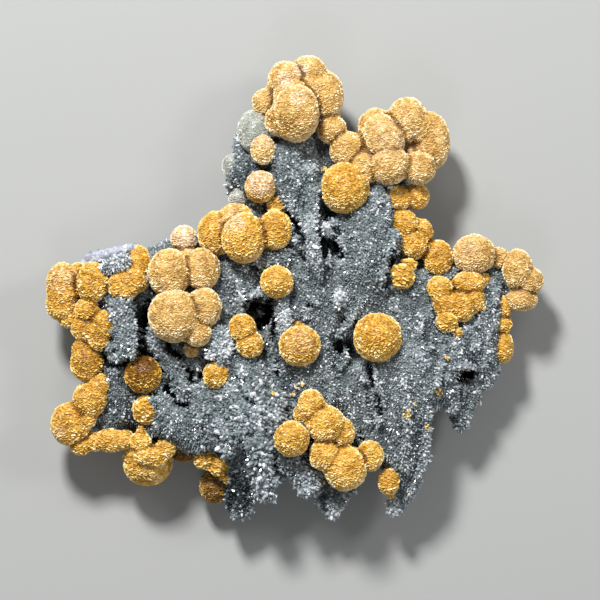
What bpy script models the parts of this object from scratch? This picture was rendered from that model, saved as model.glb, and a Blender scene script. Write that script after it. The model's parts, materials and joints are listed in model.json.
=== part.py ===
"""Gyrolite on drusy quartz, a loose mineral specimen lying on its back.

Metres, +Z up. The specimen rests on a flat broken face at z = 0 and its display side looks up along +Z. Its
crown points along +Y, and the origin lies on the resting face, near the middle of the plate. Lengths in the
tables below are in millimetres.
"""

import math

import bmesh
import bpy
from mathutils import Matrix, Vector, noise

MM = 0.001

# The quartz plate: one slab whose outline runs just inside the balls on its rim.
SLAB_UNDERSIDE = -1.2  # below the resting face, so that the cut there is flat
SLAB_TOP = 12.0
SLAB_EDGE_ROUND = 6.4
SLAB_OUTLINE = [
    (-3.0, 45.0),
    (6.0, 45.0),
    (12.0, 36.0),
    (24.0, 37.0),
    (29.0, 29.0),
    (27.0, 19.0),
    (36.0, 8.0),
    (50.0, 7.0),
    (50.5, -3.0),
    (50.0, -20.0),
    (44.0, -26.0),
    (35.0, -27.0),
    (31.0, -36.0),
    (27.0, -47.0),
    (19.0, -40.0),
    (11.0, -47.0),
    (1.0, -44.0),
    (-9.5, -43.0),
    (-20.0, -40.0),
    (-37.5, -38.0),
    (-54.0, -35.0),
    (-51.5, -19.0),
    (-56.5, -5.0),
    (-56.0, 5.0),
    (-40.0, 9.5),
    (-24.0, 14.0),
    (-15.5, 20.0),
    (-13.5, 31.0),
    (-10.5, 42.0),
]

# Ribs and fronds that ran together over the slab. Each is a tapering path of (x, y, z, radius).
FRONDS = {
    "upper_sheet": [(-3, 41, 11, 8), (-1, 30, 13, 9), (0, 20, 13, 8.5), (0, 10, 12.5, 7.5)],
    "upper_ridge": [
        (2, 30, 18.5, 4),
        (4, 21, 20, 3),
        (4.4, 14, 20, 2.6),
        (5, 8, 19.5, 2.2),
        (6.3, 2, 18, 1.8),
    ],
    "upper_left_sheet": [(-8, 38, 9, 6.5), (-10, 27, 9.5, 7), (-9, 17, 10, 7)],
    "neck_sheet": [(11, 36, 9, 7), (14, 27, 10, 8), (16, 20, 11, 7)],
    "scallop": [
        (22, 26, 10, 7.5),
        (18.5, 18, 13, 9),
        (18.5, 9, 14.5, 8.5),
        (17, 0, 14.5, 8),
        (15, -7, 14, 7),
    ],
    "scallop_lip": [(25.5, 17, 14, 3.6), (23.8, 10, 18, 2.6), (22.2, 5, 19, 2.4), (21.5, 1, 19, 2.4)],
    "scallop_tuft": [(8.2, 18, 17, 2.6), (8.3, 14.5, 19.5, 1.8)],
    "middle_sheet": [(3, 5, 11, 8.5), (6, -5, 12, 8.5), (10, -12, 13, 6), (12.5, -14, 14, 4)],
    "middle_tuft": [(11.2, 1.5, 17, 2.6), (11.2, -1.8, 20, 1.8)],
    "middle_left_sheet": [(-3, 6, 10, 8), (1, -6, 11, 8.5), (5, -18, 11, 9), (6, -30, 11, 8.5)],
    "left_shelf": [(-17, 12, 8, 7.5), (-15, 5, 10, 7.5), (-13.5, 0, 14, 5.2), (-12.5, -2.4, 15.5, 2.6)],
    "shelf_corner": [(-21, 2, 10, 6), (-18.5, -6, 12, 5.5), (-17, -9, 13, 3.4)],
    "bridge_rib": [(-6, -1, 16, 2.8), (-3, -3.5, 17, 2.4), (-2.4, -8, 17, 2.2), (-2.2, -13, 15, 2.6)],
    "knob": [(-19, -9, 13.5, 4), (-18.2, -14, 16, 3.6), (-17.8, -17.5, 16, 1.8)],
    "hollow_floor": [(-7, -8, 4, 6), (-7, -16, 7, 7), (-6, -25, 9, 8)],
    "front_sheet": [
        (-15, -20, 9, 9),
        (-12, -28, 14, 10.5),
        (-9, -36, 15.5, 9.0),
        (-8, -41, 15.5, 6.0),
        (-7.6, -46, 15.2, 3.4),
        (-7.6, -49.5, 15, 2.6),
        (-8.0, -52.4, 14.5, 1.5),
    ],
    "skirt": [(-4, -38, 8, 7), (-3.2, -45, 8, 4.4), (-2.8, -48.8, 7.6, 2.4)],
    "front_left_sheet": [(-23, -26, 10, 8), (-19, -34, 14, 7), (-17, -38, 15.5, 4), (-15.5, -41, 15.5, 2)],
    "front_tip": [(-1, -39, 12, 7), (2, -45, 15, 4.5), (3.8, -50.8, 14.5, 2)],
    "back_tip": [(7, -40, 8, 8), (8.6, -49.5, 8, 7.2), (8.6, -54.4, 8, 3.9), (9, -58.6, 8, 1.6)],
    "dark_tip": [(-13.6, -43, 9, 6.5), (-14.4, -51, 9.5, 4), (-14.4, -57.2, 9, 2.2)],
    "east_sheet": [
        (27, 1, 11, 8.5),
        (29, -11, 14, 9.5),
        (29.0, -23, 14.5, 9.5),
        (26.8, -33, 12.5, 7.4),
        (27.2, -40, 12, 7.2),
        (28.4, -46.5, 11, 5.2),
        (28.4, -50.2, 10.5, 3.6),
        (25.6, -54.2, 10, 2.4),
        (24.8, -57, 10, 1.8),
    ],
    "east_tip": [(29, -49, 9.5, 3), (28.9, -54, 9, 1.6)],
    "south_sheet": [(14, -19, 9, 7), (14, -28, 9.5, 8), (17, -37, 10.5, 7), (20, -43, 10.5, 4.5)],
    "wing_inner_sheet": [
        (37, 0, 9, 7.5),
        (38, -10, 11.5, 8.5),
        (37.5, -18, 12, 7.5),
        (36.6, -25, 12, 5.6),
        (36.8, -29.6, 11.5, 4.0),
    ],
    "wing_outer_sheet": [
        (46, 4, 8, 6.5),
        (47, -5, 10, 7),
        (47.5, -13, 10, 6.5),
        (47.5, -19, 10, 5),
        (46, -24.5, 10, 3),
    ],
    "wing_tail": [(41, -22, 10, 5.5), (42.8, -28, 10.5, 4), (42, -33, 10, 3.2), (41, -36.4, 10, 1.8)],
    "far_left_frond": [(-45, 2, 11, 6), (-44, -5, 14, 5.5), (-43, -11, 16, 4.4), (-43.5, -16, 15.5, 1.8)],
    "low_left_frond": [(-47, -13, 10, 5), (-45.8, -17, 12, 3.4), (-44.5, -20.5, 11.5, 1.6)],
    "left_frond": [(-36, -4, 9, 6), (-35.3, -12, 12.5, 4), (-34.3, -18.4, 13, 1.6)],
    "dark_frond": [
        (-31, -10, 9, 5),
        (-30, -17, 10.5, 4.6),
        (-28.5, -22, 11, 3.2),
        (-27.2, -26.4, 10.5, 1.4),
    ],
    "small_frond": [(-26, -13, 12, 3.2), (-25, -18, 12.5, 2.2), (-24, -20.7, 12.5, 1.2)],
    "left_sheet": [(-46, -19, 8, 7), (-45, -28, 9, 7.5), (-44, -35, 9, 5)],
    "lower_left_sheet": [(-38, -22, 8, 7), (-33, -31, 11, 8), (-27, -36, 12, 6.5), (-21, -39.5, 12, 4)],
    "broken_rim": [(-54, 5.5, 11, 2), (-49.5, 7.2, 13, 2), (-44.6, 8, 14, 2), (-39, 9.5, 14, 2)],
}

# Hollows between the fronds: centre, half sizes and turn about Z in degrees.
HOLLOWS = {
    "great_hollow": ((-9.0, -5.5, 15.0), (4.9, 4.4, 10.0), 10),
    "ball_hollow": ((12.4, -15.0, 16.0), (3.0, 2.4, 9.5), -20),
    "left_cleft": ((-37.8, -10.0, 14.0), (1.6, 6.5, 9.0), 4),
    "lower_left_cleft": ((-24.7, -21.5, 13.0), (2.6, 3.2, 8.0), -30),
    "diagonal_cleft": ((-30.0, -27.0, 13.0), (1.2, 3.8, 6.0), 45),
    "scallop_cleft": ((9.8, 10.5, 18.0), (1.7, 4.0, 7.0), 25),
    "neck_cleft": ((7.0, 26.0, 18.0), (1.4, 5.0, 7.0), 0),
    "wing_hollow": ((42.7, -22.0, 14.0), (2.6, 2.0, 9.0), 0),
    "sheet_cleft": ((21.2, -29.5, 19.0), (1.0, 3.0, 7.0), 8),
    "bead_cleft": ((-4.3, -18.0, 15.0), (1.2, 4.6, 7.0), 0),
    "skirt_hollow": ((-2.5, -46.0, 16.0), (1.8, 4.0, 7.0), 20),
}

FUSE_VOXEL = 0.9
CRAG_SIZES = [(16.0, 1.5), (6.0, 1.1)]  # how far apart the quartz's lumps are, and how high
CRAG_STRETCH = Vector((1.0, 0.6, 1.0))  # the lumps run down the plate
CRAG_OCTAVES = 3
MATRIX_TRIANGLES = 4150
BELOW_SIZE = 0.3  # metres: the block that is taken away below the resting face

# Gyrolite growths, each of one or more balls grown into each other: (x, y, z, radius), or three half sizes.
GROWTHS = {
    "crest_cluster": [
        (3.4, 53.5, 14.0, 4.5),
        (-2.1, 51.9, 16.0, 4.6),
        (7.2, 48.0, 13.5, 4.9, 6.2, 5.5),
        (0.2, 43.4, 20.5, 5.7, 7.2, 6.1),
        (-3.5, 41.6, 19.5, 4.0),
        (-7.1, 46.1, 15.0, 3.6),
        (9.1, 39.6, 15.0, 3.6),
        (1.5, 46.5, 10.0, 5.5),
        (13.2, 34.4, 15.5, 4.5),
        (17.6, 30.1, 17.0, 4.2),
        (23.4, 30.6, 18.5, 4.9),
        (22.4, 36.6, 17.5, 4.8),
        (20.2, 40.4, 13.5, 4.4),
        (28.1, 41.6, 13.5, 5.0, 6.0, 5.5),
        (33.9, 36.6, 12.4, 4.8, 7.4, 4.8),
        (31.0, 29.9, 16.5, 4.1),
        (27.5, 35.5, 11.0, 5.0),
    ],
    "pale_ball": [(-9.8, 39.1, 14.0, 4.7, 5.5, 5.2)],
    "crown_bud": [(-8.0, 34.4, 18.5, 3.0, 3.7, 2.8)],
    "recess_ball": [(12.5, 24.8, 18.5, 6.0, 6.3, 6.0)],
    "upper_left_ball": [(-8.6, 25.1, 18.5, 3.9)],
    "upper_left_rosette": [(-4.4, 20.7, 17.0, 2.3, 2.8, 2.3)],
    "pale_bead": [(-15.9, 30.5, 10.0, 2.5, 3.0, 2.5), (-15.0, 26.6, 9.5, 2.0)],
    "tan_bead": [(-14.2, 22.4, 12.0, 2.6)],
    "triple_cluster": [
        (-19.5, 13.6, 15.0, 4.8, 5.4, 4.8),
        (-14.8, 16.4, 15.5, 4.6),
        (-12.8, 12.4, 19.5, 5.4, 6.2, 5.6),
        (-4.9, 14.3, 18.5, 4.1, 4.9, 4.3),
    ],
    "upper_double": [
        (-31.4, 3.6, 17.5, 5.1, 6.1, 5.5),
        (-23.2, 4.6, 16.5, 4.2, 5.2, 4.6),
        (-27.8, 12.2, 13.0, 3.3),
    ],
    "lower_double": [
        (-30.2, -7.0, 19.5, 6.3, 6.6, 6.0),
        (-22.4, -4.9, 18.5, 4.0, 4.6, 4.4),
        (-24.3, -11.1, 19.0, 3.5),
        (-25.8, -15.4, 15.5, 2.0),
    ],
    "crescent": [(-42.5, 0.5, 15.5, 4.0), (-40.2, 3.4, 15.2, 3.6), (-38.4, 6.6, 14.0, 3.3)],
    "left_rim_top": [
        (-58.0, 1.6, 12.0, 4.1, 4.5, 4.2),
        (-58.5, -4.3, 12.0, 3.8),
        (-56.6, -7.3, 12.0, 2.7),
        (-50.6, 1.4, 14.5, 4.0, 5.1, 4.2),
        (-54.5, 3.6, 13.0, 2.6),
    ],
    "left_rim_upper": [
        (-52.0, -5.6, 14.0, 3.1),
        (-52.4, -10.0, 12.5, 3.7),
        (-47.5, -9.4, 15.5, 3.5),
        (-48.6, -12.8, 15.0, 3.0),
    ],
    "left_rim_middle": [(-52.0, -19.0, 12.5, 4.1, 4.5, 4.2), (-52.8, -15.6, 12.0, 3.0)],
    "left_rim_lower": [
        (-51.2, -28.0, 13.0, 4.3),
        (-49.0, -24.2, 13.5, 2.8),
        (-56.2, -34.2, 12.0, 4.9, 5.4, 4.6),
        (-52.2, -32.8, 13.5, 2.4),
        (-53.6, -39.2, 11.5, 2.8),
        (-50.2, -38.6, 12.0, 2.6, 2.2, 2.2),
        (-46.0, -38.2, 12.0, 4.0, 2.9, 2.8),
        (-42.8, -38.0, 12.0, 2.6, 2.4, 2.4),
    ],
    "shaded_ball": [(-38.0, -21.7, 15.0, 4.6)],
    "left_rosette": [(-37.2, -30.5, 15.0, 3.1, 3.5, 3.0)],
    "horseshoe": [
        (-38.6, -38.6, 14.5, 2.6),
        (-38.5, -35.6, 15.0, 1.2),
        (-37.6, -41.5, 14.0, 2.8),
        (-34.8, -42.2, 14.0, 2.8),
        (-32.4, -40.3, 14.5, 2.5),
    ],
    "lower_left_ball": [(-37.0, -43.5, 8.5, 6.2)],
    "dark_sliver": [(-28.2, -42.2, 6.5, 2.6, 1.7, 2.2)],
    "lower_bar": [
        (-22.5, -43.0, 12.0, 2.8, 2.6, 2.6),
        (-18.9, -44.6, 12.0, 2.8, 2.4, 2.4),
        (-16.4, -47.3, 11.0, 2.2, 1.6, 1.8),
    ],
    "lower_ball": [(-20.0, -50.0, 6.5, 4.1)],
    "bead_ball": [(-4.5, 1.4, 20.0, 4.0)],
    "bridge_ball": [(1.2, -14.5, 19.5, 5.0), (0.7, -9.8, 17.5, 1.6)],
    "figure_eight": [(-13.1, -10.1, 18.0, 3.4), (-11.3, -14.2, 18.0, 3.3)],
    "cleft_ball": [(-19.5, -21.9, 17.0, 3.4)],
    "sheet_ball": [(20.6, -12.4, 21.5, 6.0)],
    "front_cluster": [
        (4.1, -29.3, 20.0, 3.4, 3.8, 3.4),
        (2.2, -31.5, 19.0, 2.6),
        (7.6, -34.0, 20.0, 4.6),
        (11.3, -36.2, 18.5, 3.6),
        (7.4, -41.8, 20.0, 3.8),
        (12.5, -45.0, 18.5, 5.3, 5.6, 5.2),
        (18.8, -42.0, 17.0, 3.3, 3.8, 3.3),
    ],
    "front_ball": [(-0.9, -37.6, 22.0, 4.35)],
    "oval_ball": [(23.4, -48.5, 15.0, 2.7, 3.3, 2.7), (24.0, -52.2, 14.0, 0.9)],
    "neck_pair": [(25.6, 22.4, 14.5, 3.6, 3.0, 3.2), (30.2, 22.8, 13.0, 3.4, 3.2, 3.4)],
    "neck_bend": [
        (27.1, 15.9, 14.5, 3.6),
        (31.2, 13.9, 13.0, 3.3),
        (29.6, 10.9, 14.5, 3.7),
        (35.8, 7.4, 13.0, 3.7, 4.4, 4.0),
    ],
    "neck_rosette": [(26.6, 2.8, 19.5, 3.0), (28.3, 5.6, 18.5, 2.1, 1.4, 1.6), (23.2, 2.3, 19.5, 1.1)],
    "wing_bowl": [
        (36.0, -0.4, 16.5, 3.2),
        (37.8, -4.2, 16.5, 3.4),
        (41.6, -4.8, 16.0, 3.6),
        (44.6, -3.2, 15.0, 3.0),
        (43.5, 1.1, 14.5, 4.2, 2.9, 3.4),
        (47.6, 2.2, 13.0, 1.4),
    ],
    "wing_bud": [(37.9, -8.6, 19.0, 2.4), (40.6, -11.2, 18.5, 1.1)],
    "wing_ball": [(44.8, 8.4, 13.0, 5.3, 4.9, 5.0), (51.2, 7.4, 11.5, 2.6)],
    "wing_end": [
        (55.7, 4.6, 12.0, 3.8, 5.0, 4.4),
        (58.7, 1.7, 11.5, 3.5),
        (56.8, -2.9, 11.5, 3.9, 3.0, 3.6),
    ],
    "wing_side": [
        (52.4, -4.6, 11.5, 1.9, 3.0, 2.2),
        (52.2, -9.2, 11.0, 2.2),
        (52.2, -14.9, 11.0, 2.4, 3.9, 2.8),
    ],
}

BALL_GAP = 0.3  # between each growth and the quartz it grew on
SOCKET_SLACK = 0.76  # more room in the sockets, for their coarse faces
GROWTH_SLACK = 0.5  # the same between two growths
SOCKET_VOXEL = 0.7
ROUND_FINENESS = 3  # subdivisions of a ball or hollow before it is thinned out
LEAST_TRIANGLES = 22  # that a ball is thinned out to
TRIANGLES_PER_MM = 8  # more for each millimetre of its radius
WELD = 0.00001  # metres: a curve's caps are joined on within this
SHARP_ANGLE = math.radians(50)  # edges over this stay sharp on the balls

COLOURS = {
    "quartz": (0.20, 0.24, 0.23),
    "golden": (0.68, 0.36, 0.07),
    "tan": (0.60, 0.40, 0.18),
    "pale": (0.48, 0.47, 0.40),
    "shaded": (0.33, 0.19, 0.05),
}
FINISH = {
    "crest_cluster": "tan",
    "crown_bud": "tan",
    "pale_ball": "pale",
    "pale_bead": "pale",
    "tan_bead": "pale",
    "dark_sliver": "shaded",
    "lower_ball": "shaded",
    "upper_double": "tan",
    "lower_double": "tan",
    "wing_ball": "tan",
    "wing_end": "tan",
}


def clear_scene():
    """Empties the file that the script was started in."""
    for obj in list(bpy.data.objects):
        bpy.data.objects.remove(obj)


def collection(name):
    """A new collection in the scene."""
    made = bpy.data.collections.new(name)
    bpy.context.scene.collection.children.link(made)
    return made


def linked(name, data, home):
    """A new object of that data in a collection."""
    obj = bpy.data.objects.new(name, data)
    home.objects.link(obj)
    return obj


def cutter_object(name, mesh, home):
    """An object that only cuts others."""
    obj = linked(name, mesh, home)
    obj.hide_render = True
    obj.display_type = "WIRE"
    return obj


def material(name, roughness):
    """A plain material of one of the specimen's colours."""
    made = bpy.data.materials.new(name)
    made.use_nodes = True
    shader = made.node_tree.nodes["Principled BSDF"]
    shader.inputs["Base Color"].default_value = (*COLOURS[name], 1)
    shader.inputs["Roughness"].default_value = roughness
    shader.inputs["Metallic"].default_value = 0.0
    return made


def evaluated_mesh(obj):
    """A free copy of the object's mesh with its modifiers applied, in world space."""
    bpy.context.view_layer.update()
    graph = bpy.context.evaluated_depsgraph_get()
    mesh = bpy.data.meshes.new_from_object(obj.evaluated_get(graph))
    mesh.transform(obj.matrix_world)
    return mesh


def settle(obj):
    """Applies the object's modifiers to its mesh."""
    obj.data = evaluated_mesh(obj)
    obj.modifiers.clear()


def triangle_count(mesh):
    """How many triangles the mesh's faces make."""
    return sum(len(face.vertices) - 2 for face in mesh.polygons)


def curve_mesh(curve, height=0.0):
    """The solid of a curve, with its caps joined on."""
    obj = bpy.data.objects.new(curve.name, curve)
    obj.location.z = height
    bpy.context.scene.collection.objects.link(obj)
    mesh = evaluated_mesh(obj)
    bpy.data.objects.remove(obj)
    return mesh


def slab_mesh():
    """The plate as a filled outline with rounded edges."""
    curve = bpy.data.curves.new("slab", "CURVE")
    curve.dimensions = "2D"
    curve.fill_mode = "BOTH"
    curve.extrude = ((SLAB_TOP - SLAB_UNDERSIDE) / 2 - SLAB_EDGE_ROUND) * MM
    curve.bevel_depth = SLAB_EDGE_ROUND * MM
    curve.bevel_resolution = 2
    curve.offset = -SLAB_EDGE_ROUND * MM
    spline = curve.splines.new("POLY")
    spline.points.add(len(SLAB_OUTLINE) - 1)
    for point, (x, y) in zip(spline.points, SLAB_OUTLINE):
        point.co = (x * MM, y * MM, 0, 1)
    spline.use_cyclic_u = True
    return curve_mesh(curve, (SLAB_TOP + SLAB_UNDERSIDE) / 2 * MM)


def frond_mesh(path):
    """A tapering round rib along a path of (x, y, z, radius)."""
    curve = bpy.data.curves.new("frond", "CURVE")
    curve.dimensions = "3D"
    curve.bevel_depth = MM
    curve.bevel_resolution = 3
    curve.use_fill_caps = True
    curve.resolution_u = 6
    spline = curve.splines.new("NURBS")
    spline.points.add(len(path) - 1)
    for point, (x, y, z, radius) in zip(spline.points, path):
        point.co = (x * MM, y * MM, z * MM, 1)
        point.radius = radius
    spline.use_endpoint_u = True
    spline.order_u = min(3, len(path))
    return curve_mesh(curve)


def add_ellipsoid(bm, centre, half_sizes, turn_deg=0.0):
    """Adds an ellipsoid to a bmesh."""
    place = Matrix.Translation(Vector(centre) * MM)
    place = place @ Matrix.Rotation(math.radians(turn_deg), 4, "Z")
    place = place @ Matrix.Diagonal((*(size * MM for size in half_sizes), 1))
    bmesh.ops.create_icosphere(bm, subdivisions=ROUND_FINENESS, radius=1, matrix=place)


def add_ball(bm, ball, grown=0.0):
    """Adds one ball of a growth, grown outwards by so many millimetres."""
    x, y, z, *half_sizes = ball
    turn = 0.0
    if len(half_sizes) == 1:
        half_sizes = half_sizes * 3
        turn = math.degrees(x + y)  # so that neighbours show their facets differently
    add_ellipsoid(bm, (x, y, z), [size + grown for size in half_sizes], turn)


def mesh_from(bm, name):
    """Turns a bmesh into a mesh."""
    mesh = bpy.data.meshes.new(name)
    bm.to_mesh(mesh)
    bm.free()
    return mesh


def craggy(mesh):
    """Roughens the plate with lumps that run down it."""
    bm = bmesh.new()
    bm.from_mesh(mesh)
    bm.normal_update()
    moves = []
    for vert in bm.verts:
        place = vert.co * CRAG_STRETCH / MM
        height = 0.0
        for size, most in CRAG_SIZES:
            height += noise.fractal(place / size, 1.0, 2.0, CRAG_OCTAVES) * most
        moves.append(vert.normal * height * MM)
    for vert, move in zip(bm.verts, moves):
        vert.co += move
    bm.to_mesh(mesh)
    bm.free()


def keep_largest(mesh):
    """Drops every loose body but the one with the most vertices."""
    bm = bmesh.new()
    bm.from_mesh(mesh)
    left = set(bm.verts)
    bodies = []
    while left:
        body = set()
        front = [left.pop()]
        while front:
            vert = front.pop()
            body.add(vert)
            for edge in vert.link_edges:
                other = edge.other_vert(vert)
                if other in left:
                    left.discard(other)
                    front.append(other)
        bodies.append(body)
    bodies.sort(key=len)
    for body in bodies[:-1]:
        bmesh.ops.delete(bm, geom=list(body), context="VERTS")
    bm.to_mesh(mesh)
    bm.free()


def boolean(obj, operation, other, crossing_itself=False, solver="EXACT"):
    """Adds a Boolean with another object."""
    modifier = obj.modifiers.new(operation.lower(), "BOOLEAN")
    modifier.operation = operation
    modifier.object = other
    modifier.solver = solver
    modifier.use_self = crossing_itself


def fuse(obj, voxel):
    """Adds a remesh that makes one skin of all that overlaps."""
    modifier = obj.modifiers.new("fuse", "REMESH")
    modifier.mode = "VOXEL"
    modifier.voxel_size = voxel * MM


def thin_out(obj, triangles):
    """Merges the object's smallest faces down to about so many triangles."""
    ratio = triangles / triangle_count(obj.data)
    if ratio < 1:
        obj.modifiers.new("thin_out", "DECIMATE").ratio = ratio
        settle(obj)


def growth(name, balls, earlier, home, cutters, finishes):
    """One solid of balls grown together, kept clear of the growths made before it."""
    bm = bmesh.new()
    add_ball(bm, balls[0])
    obj = linked(name, mesh_from(bm, name), home)
    if len(balls) > 1:
        bm = bmesh.new()
        for ball in balls[1:]:
            add_ball(bm, ball)
        others = cutter_object(name + "_others", mesh_from(bm, name), cutters)
        boolean(obj, "UNION", others, crossing_itself=len(balls) > 2)
        settle(obj)
    near = [ball for ball in earlier if any(meets(ball, own) for own in balls)]
    if near:
        bm = bmesh.new()
        for ball in near:
            add_ball(bm, ball, BALL_GAP + GROWTH_SLACK)
        room = cutter_object(name + "_room", mesh_from(bm, name), cutters)
        boolean(obj, "DIFFERENCE", room, crossing_itself=len(near) > 1)
        settle(obj)
        keep_largest(obj.data)
    thin_out(obj, sum(LEAST_TRIANGLES + TRIANGLES_PER_MM * max(ball[3:]) for ball in balls))
    obj.data.materials.clear()
    obj.data.materials.append(finishes[FINISH.get(name, "golden")])
    obj.data.shade_smooth()
    obj.data.set_sharp_from_angle(angle=SHARP_ANGLE)
    return obj


def meets(ball, other):
    """Whether two balls meet, or come nearer than the gap."""
    apart = (Vector(ball[:3]) - Vector(other[:3])).length
    return apart < max(ball[3:]) + max(other[3:]) + BALL_GAP


def socket_cutter(cutters):
    """All the balls, grown by the gap and fused, to cut their seats in the quartz."""
    bm = bmesh.new()
    for balls in GROWTHS.values():
        for ball in balls:
            add_ball(bm, ball, BALL_GAP + SOCKET_SLACK)
    sockets = cutter_object("sockets", mesh_from(bm, "sockets"), cutters)
    fuse(sockets, SOCKET_VOXEL)
    settle(sockets)
    return sockets


def quartz_matrix(home, cutters):
    """The drusy plate: slab and fronds fused, hollowed, roughened, cut flat and socketed for the balls."""
    bm = bmesh.new()
    for mesh in [slab_mesh(), *map(frond_mesh, FRONDS.values())]:
        bm.from_mesh(mesh)
    bmesh.ops.remove_doubles(bm, verts=bm.verts, dist=WELD)
    obj = linked("quartz_matrix", mesh_from(bm, "quartz_matrix"), home)
    fuse(obj, FUSE_VOXEL)

    bm = bmesh.new()
    for centre, half_sizes, turn in HOLLOWS.values():
        add_ellipsoid(bm, centre, half_sizes, turn)
    boolean(obj, "DIFFERENCE", cutter_object("hollows", mesh_from(bm, "hollows"), cutters))
    settle(obj)
    craggy(obj.data)
    boolean(obj, "DIFFERENCE", socket_cutter(cutters), solver="MANIFOLD")
    fuse(obj, FUSE_VOXEL)
    settle(obj)
    keep_largest(obj.data)
    thin_out(obj, MATRIX_TRIANGLES)

    bm = bmesh.new()
    bmesh.ops.create_cube(bm, size=BELOW_SIZE, matrix=Matrix.Translation((0, 0, -BELOW_SIZE / 2)))
    boolean(obj, "DIFFERENCE", cutter_object("below", mesh_from(bm, "below"), cutters))
    settle(obj)
    keep_largest(obj.data)
    return obj


def main():
    """Builds the plate and every growth on it."""
    clear_scene()
    specimen = collection("gyrolite_specimen")
    cutters = collection("cutters")
    finishes = {name: material(name, 0.45 if name == "quartz" else 0.8) for name in COLOURS}
    matrix = quartz_matrix(specimen, cutters)
    matrix.data.materials.clear()
    matrix.data.materials.append(finishes["quartz"])
    done = []
    for name, balls in GROWTHS.items():
        growth(name, balls, done, specimen, cutters, finishes)
        done += balls


main()
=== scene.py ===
"""The looks of a loose gyrolite specimen: golden balls grown on a craggy plate of drusy quartz.

The plate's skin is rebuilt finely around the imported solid, thousands of small quartz points are strewn
over it, and every growth of balls gets a skin of thin upright plates. Lengths in the tables are millimetres
in the specimen's own frame: X to the right of its display side, Y towards its crown and Z up, out of it.
"""

import itertools
import json
import logging
import math
import random
from dataclasses import dataclass
from enum import Enum
from typing import Any

import bpy
import numpy as np
from mathutils import Matrix, Vector, noise
from mathutils.bvhtree import BVHTree

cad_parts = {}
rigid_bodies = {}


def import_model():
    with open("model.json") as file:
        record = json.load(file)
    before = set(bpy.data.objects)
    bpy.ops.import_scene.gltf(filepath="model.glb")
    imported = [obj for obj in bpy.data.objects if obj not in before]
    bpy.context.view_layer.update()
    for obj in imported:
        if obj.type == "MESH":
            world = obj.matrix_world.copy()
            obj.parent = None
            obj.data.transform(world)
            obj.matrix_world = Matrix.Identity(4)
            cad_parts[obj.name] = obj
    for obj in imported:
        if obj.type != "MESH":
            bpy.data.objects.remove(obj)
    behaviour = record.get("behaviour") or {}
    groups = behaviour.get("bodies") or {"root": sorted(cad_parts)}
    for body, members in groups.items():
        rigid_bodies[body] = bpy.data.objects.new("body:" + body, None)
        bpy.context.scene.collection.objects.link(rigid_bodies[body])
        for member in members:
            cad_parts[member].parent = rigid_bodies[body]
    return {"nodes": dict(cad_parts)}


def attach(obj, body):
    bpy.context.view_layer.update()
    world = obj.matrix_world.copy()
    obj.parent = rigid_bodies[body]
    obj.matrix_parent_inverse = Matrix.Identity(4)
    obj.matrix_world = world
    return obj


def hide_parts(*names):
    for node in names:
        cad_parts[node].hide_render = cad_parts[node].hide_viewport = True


LOG = logging.getLogger("specimen")
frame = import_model()

MM = 0.001
# Where rays that look for the ground from above start, in millimetres.
SKY_HEIGHT = 60.0
# The power that keeps a ball round.
ROUND = 2.0
PLATE_NODE = "quartz_matrix"

Ball = tuple[float, ...]


class Tone(Enum):
    """The colours that the gyrolite grew in, as the record's material slots; SHADED is a darker copy of the
    golden one, as painted shade.
    """

    GOLDEN = "golden_gyrolite"
    TAN = "tan_gyrolite"
    PALE = "pale_gyrolite"
    SHADED = "shaded_gyrolite"


class Grain(Enum):
    """How coarse a growth's skin of plates is: the plates' size against the usual one."""

    SMOOTH = 0.6
    FINE = 0.85
    USUAL = 1.0
    ROUGH = 1.45


def linear(colour: str) -> tuple[float, float, float, float]:
    """Turns an sRGB hex colour into linear light.

    Args:
        colour: six hex digits.

    Returns:
        Red, green, blue and an alpha of 1.
    """
    parts = [int(colour[start : start + 2], 16) / 255 for start in (0, 2, 4)]
    red, green, blue = [
        part / 12.92 if part <= 0.04045 else ((part + 0.055) / 1.055) ** 2.4 for part in parts
    ]
    return red, green, blue, 1.0


def add_node(
    tree: bpy.types.NodeTree,
    kind: str,
    inputs: dict[str | int, Any] | None = None,
    stops: tuple[tuple[float, str], ...] = (),
    **settings: Any,
) -> bpy.types.Node:
    """Adds a node with its settings, values and links.

    Args:
        tree: where it goes.
        kind: the node's type.
        inputs: a value, or another node's output, for each input that is set.
        stops: a colour ramp's places and hex colours.
        settings: the node's own properties.

    Returns:
        The node.
    """
    node = tree.nodes.new(kind)
    for name, value in settings.items():
        setattr(node, name, value)
    for key, value in (inputs or {}).items():
        if isinstance(value, bpy.types.NodeSocket):
            tree.links.new(value, node.inputs[key])
        else:
            node.inputs[key].default_value = value
    for number, (place, colour) in enumerate(stops):
        while len(node.color_ramp.elements) <= number:
            node.color_ramp.elements.new(1.0)
        node.color_ramp.elements[number].position = place
        node.color_ramp.elements[number].color = linear(colour)
    return node


def new_material(name: str) -> tuple[bpy.types.Material, bpy.types.NodeTree, bpy.types.Node]:
    """Makes a material.

    Args:
        name: what the real material is and how it is finished.

    Returns:
        The material, its tree and its Principled shader.
    """
    made = bpy.data.materials.new(name)
    made.use_nodes = True
    return made, made.node_tree, made.node_tree.nodes["Principled BSDF"]


def only(*objects: bpy.types.Object) -> None:
    """Selects these objects and nothing else, with the first one active."""
    bpy.ops.object.select_all(action="DESELECT")
    for obj in objects:
        obj.select_set(True)
    bpy.context.view_layer.objects.active = objects[0]


def copied(obj: bpy.types.Object, place: Matrix | None = None) -> bpy.types.Object:
    """Copies an object with a mesh of its own.

    Args:
        obj: what is copied.
        place: a transform for the copy's mesh.

    Returns:
        The copy, shown and free of any parent.
    """
    copy = bpy.data.objects.new(obj.name + "_copy", obj.data.copy())
    bpy.context.scene.collection.objects.link(copy)
    if place is not None:
        copy.data.transform(place)
    return copy


def joined(objects: list[bpy.types.Object]) -> bpy.types.Object:
    """Joins objects into the first of them."""
    only(*objects)
    bpy.ops.object.join()
    return objects[0]


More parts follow.
